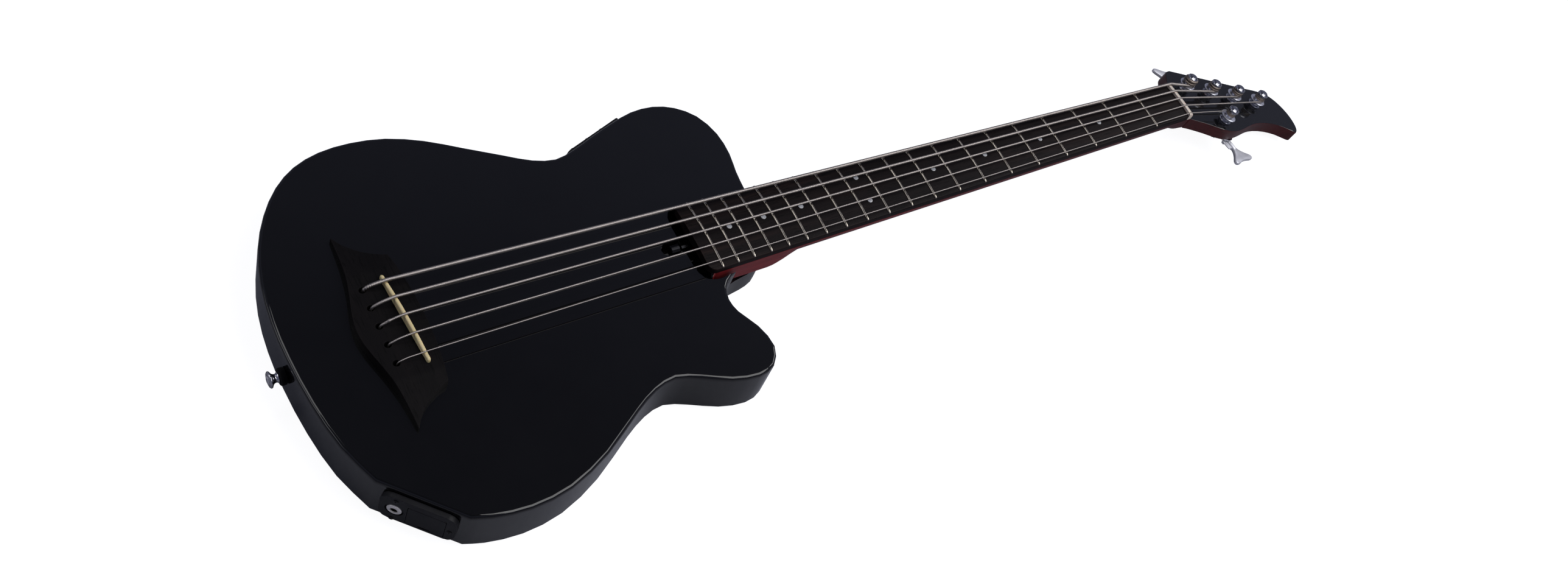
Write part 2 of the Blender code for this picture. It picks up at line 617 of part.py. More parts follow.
# ---- tuners -------------------------------------------------------------------------------------
def tuner_meshes(hand, chrome):
    """Housing, post and key for one side, in the tuner's own axes. hand is the worm's side of Y."""
    worm_y = hand * WORM_OFFSET
    gear_high = -PLATE_Z - PLATE_THICK - GEAR_CLEAR
    worm_z = gear_high - GEAR_THICK / 2
    tag = "bass" if hand < 0 else "treble"

    def flipped(rings):
        return [[(x, hand * -y, z) for x, y, z in ring] for ring in rings]

    outline = [(-9, -12), (9, -16), (16, -16), (18.5, -13), (18.5, -6), (9, 8), (5, 11), (-5, 11), (-9, 7)]
    plate = tool_body(f"plate_{tag}", flipped(prism_rings(outline, -PLATE_Z - PLATE_THICK, -PLATE_Z)))
    sleeve = tool_body(f"sleeve_{tag}", lathe_rings(
        [(SLEEVE_R, -PLATE_Z - 0.8), (SLEEVE_R, 0.3), (FLANGE_R, 0.3), (FLANGE_R, FLANGE_H - 0.6),
         (FLANGE_R - 0.8, FLANGE_H)], 20))
    boolean(plate, sleeve, "UNION")
    tabs = []
    for k, near in enumerate((-8.4, 13.6)):
        tabs.append(tool_body(f"tab_{tag}_{k}", [
            [(near + dx, worm_y + dy, z) for dx, dy in ((0, -4.4), (3.2, -4.4), (3.2, 4.4), (0, 4.4))]
            for z in (worm_z - 3.6, -PLATE_Z - 1.0)]))
        boolean(plate, tabs[-1], "UNION")
    bore = tool_body(f"bore_{tag}", lathe_rings([(POST_R + GAP, -PLATE_Z - 5), (POST_R + GAP, 8)], 16))
    boolean(plate, bore, "DIFFERENCE")
    across = Matrix.Translation(Vector((0, worm_y, worm_z)) * MM) @ Matrix.Rotation(math.pi / 2, 4, "Y")
    shaft_bore = tool_body(f"shaft_bore_{tag}", lathe_rings(
        [(SHAFT_R + GAP, -14), (SHAFT_R + GAP, 24)], 12), across)
    boolean(plate, shaft_bore, "DIFFERENCE")
    housing = baked(plate)
    housing.materials.clear()
    housing.materials.append(chrome)
    housing.shade_smooth()
    housing.set_sharp_from_angle(angle=math.radians(35))

    def gear_ring(z):
        count = 2 * GEAR_TEETH
        return [(r * math.cos(a), r * math.sin(a), z) for r, a in (
            (GEAR_R - (GEAR_TOOTH if k % 2 else 0.0), 2 * math.pi * (k + 0.5) / count) for k in range(count))]

    count = 2 * GEAR_TEETH
    low = gear_high - GEAR_THICK
    post = loft_mesh(f"post_{tag}", [circle(3.2, count, low - 1.2), circle(3.4, count, low), gear_ring(low),
                                     gear_ring(gear_high), circle(POST_R, count, gear_high),
                                     circle(POST_R, count, FLANGE_H + 1.0), circle(SPOOL_R, count, SPOOL_LOW),
                                     circle(SPOOL_R, count, SPOOL_TOP - 0.2),
                                     circle(POST_WAIST_R, count, SPOOL_TOP),
                                     circle(POST_WAIST_R, count, POST_WAIST_Z + 3),
                                     circle(POST_CAP_R, count, POST_TOP - 4), circle(POST_CAP_R, count, POST_TOP - 1.6),
                                     circle(POST_CAP_R - 2.5, count, POST_TOP)])
    return housing, post, worm_y, worm_z


def key_mesh(tag):
    """Worm, shaft and a fish-tail button, about the shaft's own axis, along +X."""
    sides = 12

    def oval(x, half_y, half_z, notch=0.0):
        ring = []
        for k in range(sides):
            a = 2 * math.pi * k / sides
            y = half_y * math.cos(a)
            ring.append((x - notch * (1 - (y / half_y) ** 2), y, half_z * math.sin(a)))
        return ring

    rings = [oval(-10.0, 1.2, 1.2), oval(-9.2, SHAFT_R, SHAFT_R), oval(-4.6, SHAFT_R, SHAFT_R),
             oval(-4.4, WORM_R, WORM_R), oval(12.4, WORM_R, WORM_R), oval(12.8, SHAFT_R, SHAFT_R),
             oval(KEY_REACH - 11, SHAFT_R, SHAFT_R), oval(KEY_REACH - 10.6, 3.4, 3.4),
             oval(KEY_REACH - 3, 3.2, 3.2), oval(KEY_REACH, 3.0, 2.6)]
    for share, width in ((0.26, 0.4), (0.45, 0.61), (0.62, 0.83), (0.8, 0.97), (0.92, 1.0), (1.0, 0.92)):
        rings.append(oval(KEY_REACH + share * KEY_LENGTH, width * KEY_HALF_WIDTH,
                          2.5 if share < 0.9 else 1.7, 4.5 * share**3))
    return loft_mesh(f"key_{tag}", rings)


def make_tuners(chrome):
    parts = {hand: tuner_meshes(hand, chrome) for hand in (-1, 1)}
    key = key_mesh("shared")
    for i, (spot, direction, hand) in enumerate(post_spots()):
        housing, post, worm_y, worm_z = parts[hand]
        place = tuner_place(spot, direction, hand)
        add_object(f"tuner_housing_{i + 1}", housing, chrome, place)
        add_object(f"tuner_post_{i + 1}", post, chrome, place)
        add_object(f"tuner_key_{i + 1}", key, chrome,
                   place @ Matrix.Translation(Vector((0, worm_y, worm_z)) * MM))


# ---- electrics and strap buttons ----------------------------------------------------------------
def make_jack_plate(black, nickel, cell):
    place = facet_place()
    plate = add_object("jack_plate", loft_mesh("jack_plate", box_rings(
        PLATE_LENGTH, PLATE_HEIGHT, GAP, PLATE_PROUD, corner=PLATE_CORNER, centre=PLATE_MID)),
        black, place)
    boolean(plate, tool_body("door_opening", box_rings(
        DOOR_LENGTH + 2 * GAP, DOOR_HEIGHT + 2 * GAP, -3, 9, centre=(DOOR_ALONG, DOOR_MID)), place),
        "DIFFERENCE")
    seat = PLATE_PROUD - JACK_CUP_DEPTH
    at_jack = place @ Matrix.Translation(Vector((JACK_ALONG, 0, 0)) * MM)
    boolean(plate, tool_body("jack_opening", lathe_rings([(4.8, -3), (4.8, seat)], 16)
                             + lathe_rings([(JACK_CUP_R, seat), (JACK_CUP_R, 9)], 16), at_jack),
            "DIFFERENCE")
    profile = [(3.2, -16.0), (3.2, PLATE_PROUD + 0.8), (4.4, PLATE_PROUD + 0.8),
               (6.2, PLATE_PROUD), (6.2, seat + GAP), (4.4, seat + GAP), (4.4, -6.0),
               (6.2, -6.0), (6.2, -18.5)]
    add_object("output_jack", loft_mesh("output_jack", lathe_rings(profile, 16)), nickel, at_jack)
    hinge = place @ Matrix.Translation(
        Vector((DOOR_ALONG, DOOR_MID + DOOR_HEIGHT / 2, PLATE_PROUD)) * MM)
    door = add_object("battery_door", loft_mesh("battery_door", box_rings(
        DOOR_LENGTH, DOOR_HEIGHT, -2.3, 0, corner=1.5, centre=(0, -DOOR_HEIGHT / 2))), black, hinge)
    boolean(door, tool_body("finger_slot", box_rings(
        11, 4, -5, 5, corner=1.5, centre=(0, -DOOR_HEIGHT - 0.4)), hinge), "DIFFERENCE")
    add_object("battery", loft_mesh("battery", box_rings(
        BATTERY_WIDE, BATTERY_TALL, BATTERY_TO, BATTERY_FROM, corner=1.5,
        centre=(DOOR_ALONG, DOOR_MID))), cell, place)


def make_preamp(black, knob):
    place = panel_place()
    panel_length = (Vector(PANEL_TO) - Vector(PANEL_FROM)).length
    preamp = add_object("preamp", loft_mesh("preamp", box_rings(
        panel_length, PANEL_HEIGHT, GAP, PANEL_PROUD, corner=3)), black, place)
    boolean(preamp, tool_body("preamp_case", box_rings(
        54, PANEL_HEIGHT - 9, -CASE_DEPTH, PANEL_PROUD - 0.8), place), "UNION")
    knob_profile = [(KNOB_R - 0.2, 0), (KNOB_R, 0.5), (KNOB_R - 0.3, KNOB_H - 0.8), (KNOB_R - 1.2, KNOB_H)]
    mesh = loft_mesh("knob", lathe_rings(knob_profile, 20))
    for i in range(3):
        spot = Vector(((1 - i) * KNOB_PITCH, 0, PANEL_PROUD + GAP)) * MM
        add_object(f"knob_{i + 1}", mesh, knob, place @ Matrix.Translation(spot))


def make_strap_button(chrome, felt, body):
    """Screwed button and its felt washer on the tail; its shank sits in a hole in the rim."""
    place = Matrix.Translation(Vector((TAIL_X, TAIL_Y, RIM_MID_Z)) * MM) @ Matrix.Rotation(
        -math.pi / 2, 4, "Y")
    boolean(body, tool_body("shank_hole", lathe_rings([(SHANK_R + GAP, -SHANK_DEPTH - 2),
                                                       (SHANK_R + GAP, 4)], 12), place), "DIFFERENCE")
    button = [(SHANK_R - 0.8, -SHANK_DEPTH), (SHANK_R, -SHANK_DEPTH + 1), (SHANK_R, FELT_THICK + 2 * GAP),
              (4.4, FELT_THICK + 2 * GAP), (3.6, 8.0), (5.2, 10.2), (6.9, 11.4), (6.9, 12.4), (5.4, 13.4),
              (2.0, 13.9)]
    add_object("strap_button", loft_mesh("strap_button", lathe_rings(button, 20)), chrome, place)
    washer = [(FELT_R - 0.5, GAP), (FELT_R, GAP + 0.5), (FELT_R, FELT_THICK - 0.3), (FELT_R - 0.6, FELT_THICK + GAP)]
    disc = add_object("felt_washer", loft_mesh("felt_washer", lathe_rings(washer, 20)), felt, place)
    boolean(disc, tool_body("felt_hole", lathe_rings([(SHANK_R + GAP, -3), (SHANK_R + GAP, 9)], 12), place),
            "DIFFERENCE")


# ---- the instrument -----------------------------------------------------------------------------
clear_scene()
GLOSS_BLACK = material("gloss_black", (0.006, 0.006, 0.008), 0.08)
NECK_RED = material("neck_mahogany", (0.11, 0.018, 0.014), 0.42)
BOARD_WOOD = material("board_rosewood", (0.022, 0.014, 0.012), 0.5)
BRIDGE_WOOD = material("bridge_rosewood", (0.025, 0.018, 0.017), 0.55)
FRET_METAL = material("fret_nickel", (0.62, 0.58, 0.52), 0.25, 1.0)
BONE = material("bone", (0.80, 0.72, 0.50), 0.4)
STEEL = material("rod_steel", (0.45, 0.45, 0.46), 0.4, 1.0)
WOUND = material("string_wound", (0.62, 0.60, 0.57), 0.35, 1.0)
CHROME = material("chrome", (0.75, 0.75, 0.77), 0.08, 1.0)
PLASTIC = material("plastic_black", (0.012, 0.012, 0.013), 0.35)
CELL = material("battery_case", (0.05, 0.05, 0.06), 0.4)
FELT = material("felt", (0.01, 0.01, 0.01), 0.95)
SENSOR = material("piezo_braid", (0.5, 0.42, 0.25), 0.5, 0.6)

make_body(GLOSS_BLACK)
make_neck(NECK_RED)
make_fingerboard(BOARD_WOOD, FRET_METAL)
make_nut(BONE)
make_truss_rod(STEEL, CHROME)
make_bridge(BRIDGE_WOOD, BONE, SENSOR)
make_strings(WOUND)
make_tuners(CHROME)
make_jack_plate(PLASTIC, CHROME, CELL)
make_preamp(PLASTIC, PLASTIC)
make_strap_button(CHROME, FELT, bpy.data.objects["body"])
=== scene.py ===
"""Looks for the five-string electro-acoustic bass guitar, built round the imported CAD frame."""

import json
import math

import bmesh
import bpy
from mathutils import Matrix, Vector, noise


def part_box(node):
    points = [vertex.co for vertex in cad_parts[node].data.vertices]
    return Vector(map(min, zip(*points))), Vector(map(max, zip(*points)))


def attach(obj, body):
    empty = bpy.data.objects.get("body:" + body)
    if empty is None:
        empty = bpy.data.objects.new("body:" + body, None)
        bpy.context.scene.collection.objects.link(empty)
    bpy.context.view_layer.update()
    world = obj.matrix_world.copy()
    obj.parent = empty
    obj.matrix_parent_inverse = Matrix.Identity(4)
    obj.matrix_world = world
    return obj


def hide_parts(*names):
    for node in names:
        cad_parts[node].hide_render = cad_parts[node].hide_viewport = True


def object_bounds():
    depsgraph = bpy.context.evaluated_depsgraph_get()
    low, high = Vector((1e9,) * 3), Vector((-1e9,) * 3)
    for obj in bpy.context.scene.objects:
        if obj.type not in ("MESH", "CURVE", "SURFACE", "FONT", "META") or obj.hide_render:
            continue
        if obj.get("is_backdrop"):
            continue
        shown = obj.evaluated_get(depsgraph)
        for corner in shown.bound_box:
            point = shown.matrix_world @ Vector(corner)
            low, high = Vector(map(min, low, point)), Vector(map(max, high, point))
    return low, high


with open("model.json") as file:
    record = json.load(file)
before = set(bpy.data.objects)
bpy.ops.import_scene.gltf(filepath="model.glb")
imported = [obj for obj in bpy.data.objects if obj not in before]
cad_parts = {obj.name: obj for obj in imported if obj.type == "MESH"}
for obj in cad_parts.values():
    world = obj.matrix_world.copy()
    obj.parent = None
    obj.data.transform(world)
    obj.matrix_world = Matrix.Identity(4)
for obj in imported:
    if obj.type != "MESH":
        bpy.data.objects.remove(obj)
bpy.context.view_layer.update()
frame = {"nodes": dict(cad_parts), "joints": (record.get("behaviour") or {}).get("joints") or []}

MM = 0.001
NODES = frame["nodes"]
JOINTS = {joint["name"]: joint for joint in frame["joints"]}

# ---- the instrument's own measures, in millimetres
SCALE_LENGTH = 863.6
FRET_COUNT, FRET_ROUND = 20, 2.4   # how many, and the length of a fret's rounded end
BOARD_RADIUS = 241.0
BOARD_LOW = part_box("fingerboard")[0] * 1000
BOARD_THICK = 6.0
BOARD_EDGE_Z = BOARD_LOW.z + BOARD_THICK
BOARD_CORNER, BOARD_ROLL = 8.0, 1.1   # rounding at the body end, and of the long edges
HALF_WIDTH_NUT, HALF_WIDTH_20 = 22.4, 36.6
BODY_TOP_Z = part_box("soundboard")[1].z * 1000
STRING_R = [1.65, 1.33, 1.08, 0.83, 0.57]
NUT_PITCH, SADDLE_PITCH = 10.0, 17.7
NUT_ACTION, SADDLE_ACTION = 1.5, 5.2
NUT_FRONT, NUT_LENGTH = SCALE_LENGTH + 0.3, 5.7
SADDLE_X, SADDLE_SLANT = -6.4, -0.0667
SADDLE_HALF_LENGTH, SADDLE_WIDTH = 43.0, 3.2
ANCHOR_X, ANCHOR_HOLE_R = -27.5, 2.6
BRIDGE_TOP_Z, BRIDGE_TIP_Z = 57.0, 52.5
BRIDGE_WING_Y, BRIDGE_CREASE_Y = 50.0, 62.5   # where each wing starts to thin, and its front corner
HEAD_X = 870.0                  # where the headstock's face starts
HEAD_ALONG = Vector((math.cos(math.radians(12)), 0, -math.sin(math.radians(12))))   # down its face
POST_WAIST_R, POST_WAIST_Z, POST_TOP = 4.0, 9.5, 19.0
WRAP_R = POST_WAIST_R + 0.3     # inside of the string wound on a post
KEY_REACH = 31.0                # a button's waist, from its post's axis
PLATE_BACK = 16.6               # back of a tuner's base plate, below the headstock's face
RIM_MID_Z = 24.0
HINGE_PROUD, HINGE_ALONG = 5.0, 44.8   # the door's hinge, from the facet's face and near end

# the photograph's camera, in metres: focal length over frame width, where it is and how it is turned
FOCAL_SHARE = 2581.5 / 2576
CAMERA_SPOT = (-0.37247, -0.58881, 1.12881)
CAMERA_RIGHT, CAMERA_AHEAD = (0.8267, -0.4756, 0.3005), (0.4996, 0.3750, -0.7809)


# ---- mesh tools
def skin(shape, rings, place=None, loop=False):
    """Adds a closed skin over equal rings, in millimetres; looped, the last ring joins the first."""
    place = place or Matrix.Identity(4)
    rows = [[shape.verts.new(place @ (Vector(point) * MM)) for point in ring] for ring in rings]
    for low, high in zip(rows, rows[1:] + rows[:1] if loop else rows[1:]):
        for i in range(len(low)):
            j = (i + 1) % len(low)
            shape.faces.new((low[i], low[j], high[j], high[i]))
    if not loop:
        shape.faces.new(rows[0][::-1])
        shape.faces.new(rows[-1])


def circle(radius, count, z=0.0, centre=(0.0, 0.0)):
    """A ring of points; the radius may be a function of the angle."""
    ring, turn = [], 2 * math.pi / count
    for angle in (turn * k for k in range(count)):
        reach = radius(angle) if callable(radius) else radius
        ring.append((centre[0] + reach * math.cos(angle), centre[1] + reach * math.sin(angle), z))
    return ring


def turned(shape, profile, place, count, loop=False):
    """A turned solid from (radius, height) pairs, about the placed Z axis; looped, it is a ring."""
    skin(shape, [circle(radius, count, z) for radius, z in profile], place, loop)


def rounded(into, length):
    """0 to 1 along a quarter circle, for a distance into a rounded end of this length."""
    return math.sqrt(1 - (1 - min(max(into / length, 0.0), 1.0)) ** 2)


def shifted(place, *spot):
    """The placing matrix moved in its own axes, by millimetres."""
    return place @ Matrix.Translation(Vector(spot) * MM)


def quarter(count):
    """(1 - cos, 1 - sin) at even steps of a quarter turn, for rounded edges."""
    turns = [math.pi / 2 * k / (count - 1) for k in range(count)]
    return [(1 - math.cos(turn), 1 - math.sin(turn)) for turn in turns]


def linked(name, data):
    """A new object of the scene, holding a mesh, a light or a camera."""
    made = bpy.data.objects.new(name, data)
    bpy.context.scene.collection.objects.link(made)
    return made


def show(name, mesh, surface, slot, *nodes, body="instrument"):
    """The mesh as a piece on a body, in place of the CAD nodes; its slot argument is not used."""
    made = linked(name, mesh)
    mesh.materials.clear()
    mesh.materials.append(surface)
    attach(made, body)
    if nodes:
        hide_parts(*nodes)
    return made


def plain_mesh(name, shape):
    """The bmesh as a mesh, with its faces turned outwards."""
    bmesh.ops.recalc_face_normals(shape, faces=shape.faces)
    mesh = bpy.data.meshes.new(name)
    shape.to_mesh(mesh)
    shape.free()
    return mesh


def creased(mesh, angle):
    """Smooth shading, with edges that turn by more than the angle left sharp."""
    mesh.shade_smooth()
    mesh.set_sharp_from_angle(angle=math.radians(angle))
    return mesh


def finished(name, shape, angle):
    """The bmesh as a smooth-shaded mesh with its creases marked."""
    mesh = plain_mesh(name, shape)
    if "custom_normal" in mesh.attributes:
        mesh.attributes.remove(mesh.attributes["custom_normal"])
    return creased(mesh, angle)


def piece(name, shape, surface, angle, slot, *nodes, body="instrument"):
    """The bmesh as a piece, creased where its faces turn by more than the angle."""
    return show(name, finished(name, shape, angle), surface, slot, *nodes, body=body)


def weigh_normals(made):
    made.modifiers.new("normals", "WEIGHTED_NORMAL").keep_sharp = True


def welded(node, clean=True):
    """A CAD node's shape with its split corners joined and its flat faces made whole."""
    shape = bmesh.new()
    shape.from_mesh(NODES[node].data)
    bmesh.ops.remove_doubles(shape, verts=shape.verts, dist=0.00001)
    if clean:
        bmesh.ops.dissolve_limit(shape, angle_limit=math.radians(0.4), verts=shape.verts, edges=shape.edges)
    return shape


def copy_of(node, name, surface, slot, body="instrument", bevel=0.0, segments=2, angle=30.0):
    """A piece with the CAD node's shape, its edges broken by a small bevel."""
    made = piece(name, welded(node), surface, angle, slot, node, body=body)
    if bevel:
        step = made.modifiers.new("edges", "BEVEL")
        step.width = bevel * MM
        step.segments = segments
        step.limit_method = "ANGLE"
        step.angle_limit = math.radians(angle)
        step.harden_normals = False
    weigh_normals(made)


def cut(mesh_name, target, cutters):
    """The target bmesh with each cutter bmesh taken away, as one mesh."""
    blank, *tools = [linked(f"{mesh_name}_stock_{i}", plain_mesh(f"{mesh_name}_stock_{i}", shape))
                     for i, shape in enumerate([target] + cutters)]
    for tool in tools:
        step = blank.modifiers.new("cut", "BOOLEAN")
        step.operation = "DIFFERENCE"
        step.solver = "EXACT"
        step.object = tool
    bpy.context.view_layer.update()
    mesh = bpy.data.meshes.new_from_object(blank.evaluated_get(bpy.context.evaluated_depsgraph_get()))
    for used in [blank] + tools:
        bpy.data.objects.remove(used)
    mesh.name = mesh_name
    return creased(mesh, 30)


def round_box(shape, size_x, size_y, low, high, corner, place, centre=(0.0, 0.0), edge=0.0, steps=5):
    """A box with rounded plan corners and, when edge is above zero, a rounded top edge."""
    def outline(shrink):
        flat = []
        half_x, half_y, turn_r = size_x / 2 - shrink, size_y / 2 - shrink, max(corner - shrink, 0.2)
        for quarter, (sx, sy) in enumerate(((1, 1), (-1, 1), (-1, -1), (1, -1))):
            for k in range(steps + 1):
                angle = math.radians(90 * (quarter + k / steps))
                flat.append((sx * (half_x - turn_r) + turn_r * math.cos(angle) + centre[0],
                             sy * (half_y - turn_r) + turn_r * math.sin(angle) + centre[1]))
        return flat
    rings = [[(x, y, low) for x, y in outline(0)]]
    for share, drop in quarter(4) if edge else [(0.0, 0.0)]:
        rings.append([(x, y, high - edge * drop) for x, y in outline(edge * share)])
    skin(shape, rings, place)


def axis_place(origin, z_axis, x_hint):
    """A placing matrix at a point in metres, Z along z_axis and X near x_hint."""
    z_axis = Vector(z_axis).normalized()
    x_axis = (Vector(x_hint) - z_axis * Vector(x_hint).dot(z_axis)).normalized()
    place = Matrix((x_axis, z_axis.cross(x_axis), z_axis)).transposed().to_4x4()
    place.translation = Vector(origin)
    return place


def tube(shape, points, radii, sides=12, lift=None):
    """A tube along a path in millimetres; radii may vary, and lift(i, angle) adds to the radius."""
    path = [Vector(p) for p in points]
    side = (path[1] - path[0]).normalized().cross(Vector((0, 0, 1)))
    if side.length < 0.1:
        side = Vector((0, 1, 0))
    rings = []
    for i, point in enumerate(path):
        ahead = (path[min(i + 1, len(path) - 1)] - path[max(i - 1, 0)]).normalized()
        side = (side - ahead * side.dot(ahead)).normalized()
        up = ahead.cross(side)
        ring = []
        for k in range(sides):
            a = 2 * math.pi * k / sides
            r = radii[i] + (lift(i, a) if lift else 0.0)
            ring.append(point + (side * math.cos(a) + up * math.sin(a)) * r)
        rings.append(ring)
    skin(shape, rings)


def smooth_path(points, step):
    """Catmull-Rom curve through the points, sampled about every step millimetres."""
    knots = [Vector(p) for p in points]
    curve = []
    for i in range(len(knots) - 1):
        b, c = knots[i], knots[i + 1]
        a = knots[i - 1] if i else b * 2 - c
        d = knots[i + 2] if i + 2 < len(knots) else c * 2 - b
        gaps = [max((q - p).length, 1e-6) ** 0.5 for p, q in ((a, b), (b, c), (c, d))]
        slope_b = ((b - a) / gaps[0] - (c - a) / (gaps[0] + gaps[1]) + (c - b) / gaps[1]) * gaps[1]
        slope_c = ((c - b) / gaps[1] - (d - b) / (gaps[1] + gaps[2]) + (d - c) / gaps[2]) * gaps[1]
        count = max(int((c - b).length / step), 2)
        for k in range(count):
            t = k / count
            curve.append(b * (2 * t**3 - 3 * t**2 + 1) + slope_b * (t**3 - 2 * t**2 + t)
                         + c * (3 * t**2 - 2 * t**3) + slope_c * (t**3 - t**2))
    curve.append(knots[-1])
    return curve


# ---- material tools
class Look:
    """A Principled material, with short calls for the nodes that feed it."""

    def __init__(self, name, **values):
        self.material = bpy.data.materials.new(name)
        self.material.use_nodes = True
        self.tree = self.material.node_tree
        self.shader = self.tree.nodes["Principled BSDF"]
        self.spot = self.tree.nodes.new("ShaderNodeTexCoord").outputs["Object"]
        self.put(**values)

    def feed(self, socket, value):
        if isinstance(value, bpy.types.NodeSocket):
            self.tree.links.new(value, socket)
        elif isinstance(value, tuple) and len(value) == 3 and socket.type == "RGBA":
            socket.default_value = (*value, 1.0)
        else:
            socket.default_value = value

    def put(self, **values):
        """Sets or links the shader's named inputs."""
        for key, value in values.items():
            self.feed(self.shader.inputs[key.replace("_", " ")], value)

    def node(self, kind, **inputs):
        """A new node, each named input set to a value or linked to a socket."""
        made = self.tree.nodes.new("ShaderNode" + kind)
        for key, value in inputs.items():
            self.feed(made.inputs[key.replace("_", " ")], value)
        return made

    def noise(self, scale, detail=2.0, rough=0.5, stretch=(1, 1, 1), distort=0.0, turn=(0, 0, 0)):
        mapping = self.node("Mapping", Vector=self.spot, Scale=stretch, Rotation=turn)
        return self.node("TexNoise", Vector=mapping.outputs[0], Scale=scale, Detail=detail, Roughness=rough,
                         Distortion=distort).outputs[0]

    def bands(self, scale, stretch):
        """Even bands across the X axis."""
        mapping = self.node("Mapping", Vector=self.spot, Scale=stretch)
        made = self.node("TexWave", Vector=mapping.outputs[0], Scale=scale, Distortion=0.0, Detail=0.0)
        made.bands_direction = "X"
        return made.outputs["Fac"]

    def ramp(self, value, *stops):
        """Colours from (place, colour) stops; the node starts with two of its own."""
        made = self.node("ValToRGB", Fac=value)
        band = made.color_ramp
        while len(band.elements) < len(stops):
            band.elements.new(0.5)
        for element, (place, colour) in zip(band.elements, stops):
            element.position = place
            element.color = (*colour, 1.0)
        return made.outputs["Color"]

    def span(self, value, low, high, start=0.0, end=1.0):
        """The value from the range start to end carried over to the range low to high."""
        return self.node("MapRange", Value=value, From_Min=start, From_Max=end, To_Min=low,
                         To_Max=high).outputs["Result"]

    def mix(self, share, first, second, kind="MIX"):
        """Two colours mixed; 6, 7 and 2 are the colour sockets of the node."""
        made = self.node("Mix")
        made.data_type = "RGBA"
        made.blend_type = kind
        for index, value in ((0, share), (6, first), (7, second)):
            self.feed(made.inputs[index], value)
        return made.outputs[2]

    def sum(self, first, second, kind="ADD"):
        made = self.node("Math")
        made.operation = kind
        self.feed(made.inputs[0], first)
        self.feed(made.inputs[1], second)
        return made.outputs[0]

    def bump(self, height, depth_mm, strength, into="Normal"):
        made = self.node("Bump", Height=height, Distance=depth_mm * MM, Strength=strength)
        self.put(**{into: made.outputs[0]})

    def cover(self, share, over):
        """Shows another shader over this one by a share from 0 to 1."""
        blend = self.node("MixShader")
        for index, value in enumerate((share, self.shader.outputs[0], over.outputs[0])):
            self.feed(blend.inputs[index], value)
        output = next(node for node in self.tree.nodes if node.type == "OUTPUT_MATERIAL")
        self.feed(output.inputs["Surface"], blend.outputs[0])

    def edge_wear(self, radius_mm):
        """0 on flat faces and towards 1 on sharp edges."""
        bevel = self.node("Bevel", Radius=radius_mm * MM)
        bevel.samples = 4
        product = self.node("VectorMath")
        product.operation = "DOT_PRODUCT"
        self.feed(product.inputs[0], bevel.outputs[0])
        self.feed(product.inputs[1], self.node("NewGeometry").outputs["Normal"])
        return self.span(product.outputs["Value"], 1.0, 0.0, 0.75, 1.0)


def along(axis, ratio):
    """A stretch that draws a pattern out along one axis."""
    return tuple(ratio if index == axis else 1.0 for index in range(3))


def shade(colour, factor):
    return tuple(factor * value for value in colour)


PITCH_BLACK = (0.0016, 0.0016, 0.0022)


def lacquer(name):
    """Deep gloss black: a dark ground under a clear coat with faint orange peel and polishing haze."""
    look = Look(name, Specular_IOR_Level=0.05, Coat_Weight=1.0, Coat_IOR=1.5)
    haze = look.noise(26.0, 4.0, 0.6, (1, 2.2, 1))
    swirl = look.noise(900.0, 2.0, 0.6, (0.12, 1, 1), turn=(0, 0, 0.6))
    look.put(Base_Color=look.ramp(look.noise(9.0, 3.0), (0.3, (0.0008, 0.0008, 0.0012)), (0.75, PITCH_BLACK)),
             Roughness=look.span(look.noise(40.0, 2.0), 0.30, 0.42),
             Coat_Roughness=look.sum(look.span(haze, 0.012, 0.05, 0.35, 0.75),
                                     look.span(swirl, 0.0, 0.018, 0.5, 0.8)))
    look.bump(look.noise(240.0, 2.0, 0.4), 0.004, 0.5, into="Coat Normal")
    return look.material


def wood(name, dark, mid, light, rough, pore_depth, pore_share, shine, grain_axis=0, wear=None):
    """Straight-grained wood: long streaks, finer lines and open pores along one axis."""
    look = Look(name, Specular_IOR_Level=shine)
    streaks = look.noise(70.0, 4.0, 0.62, along(grain_axis, 0.045), 0.35)
    fine = look.noise(420.0, 3.0, 0.6, along(grain_axis, 0.03))
    pores = look.noise(900.0, 1.0, 0.5, along(grain_axis, 0.06))
    broad = look.noise(11.0, 2.0, 0.5, along(grain_axis, 0.25))
    colour = look.ramp(streaks, (0.30, dark), (0.5, mid), (0.72, light))
    colour = look.mix(look.span(fine, 0.0, 0.55, 0.45, 0.75), colour, dark)
    colour = look.mix(look.span(broad, 0.0, 0.5, 0.4, 0.8), colour, mid)
    pore = look.span(pores, 0.0, 1.0, pore_share, pore_share + 0.08)
    colour = look.mix(look.sum(pore, 0.8, "MULTIPLY"), colour, shade(dark, 0.35))
    if wear:
        colour = look.mix(look.sum(look.edge_wear(1.2), 0.45, "MULTIPLY"), colour, wear)
    look.put(Base_Color=colour, Roughness=look.span(look.sum(streaks, fine), *rough, 0.7, 1.4))
    height = look.sum(look.sum(pore, -1.0, "MULTIPLY"), look.sum(fine, 0.25, "MULTIPLY"))
    look.bump(height, pore_depth, 0.6)
    return look


def metal(name, colour, rough, brush=0.0, brush_axis=1, tint=None, smudge=0.05, plating=1.0):
    """Polished or brushed metal with fingerprints' haze and fine scratches."""
    look = Look(name, Metallic=plating)
    cloud = look.noise(120.0, 3.0, 0.6)
    lines = look.noise(3000.0, 2.0, 0.5, along(brush_axis, 0.03))
    look.put(Base_Color=look.ramp(cloud, (0.3, shade(colour, 0.88)), (0.7, tint or colour)),
             Roughness=look.sum(look.span(cloud, rough, rough + smudge, 0.35, 0.7),
                                look.span(lines, -0.5 * brush, brush, 0.35, 0.7)))
    if brush:
        look.bump(lines, 0.004, 0.4)
    return look.material


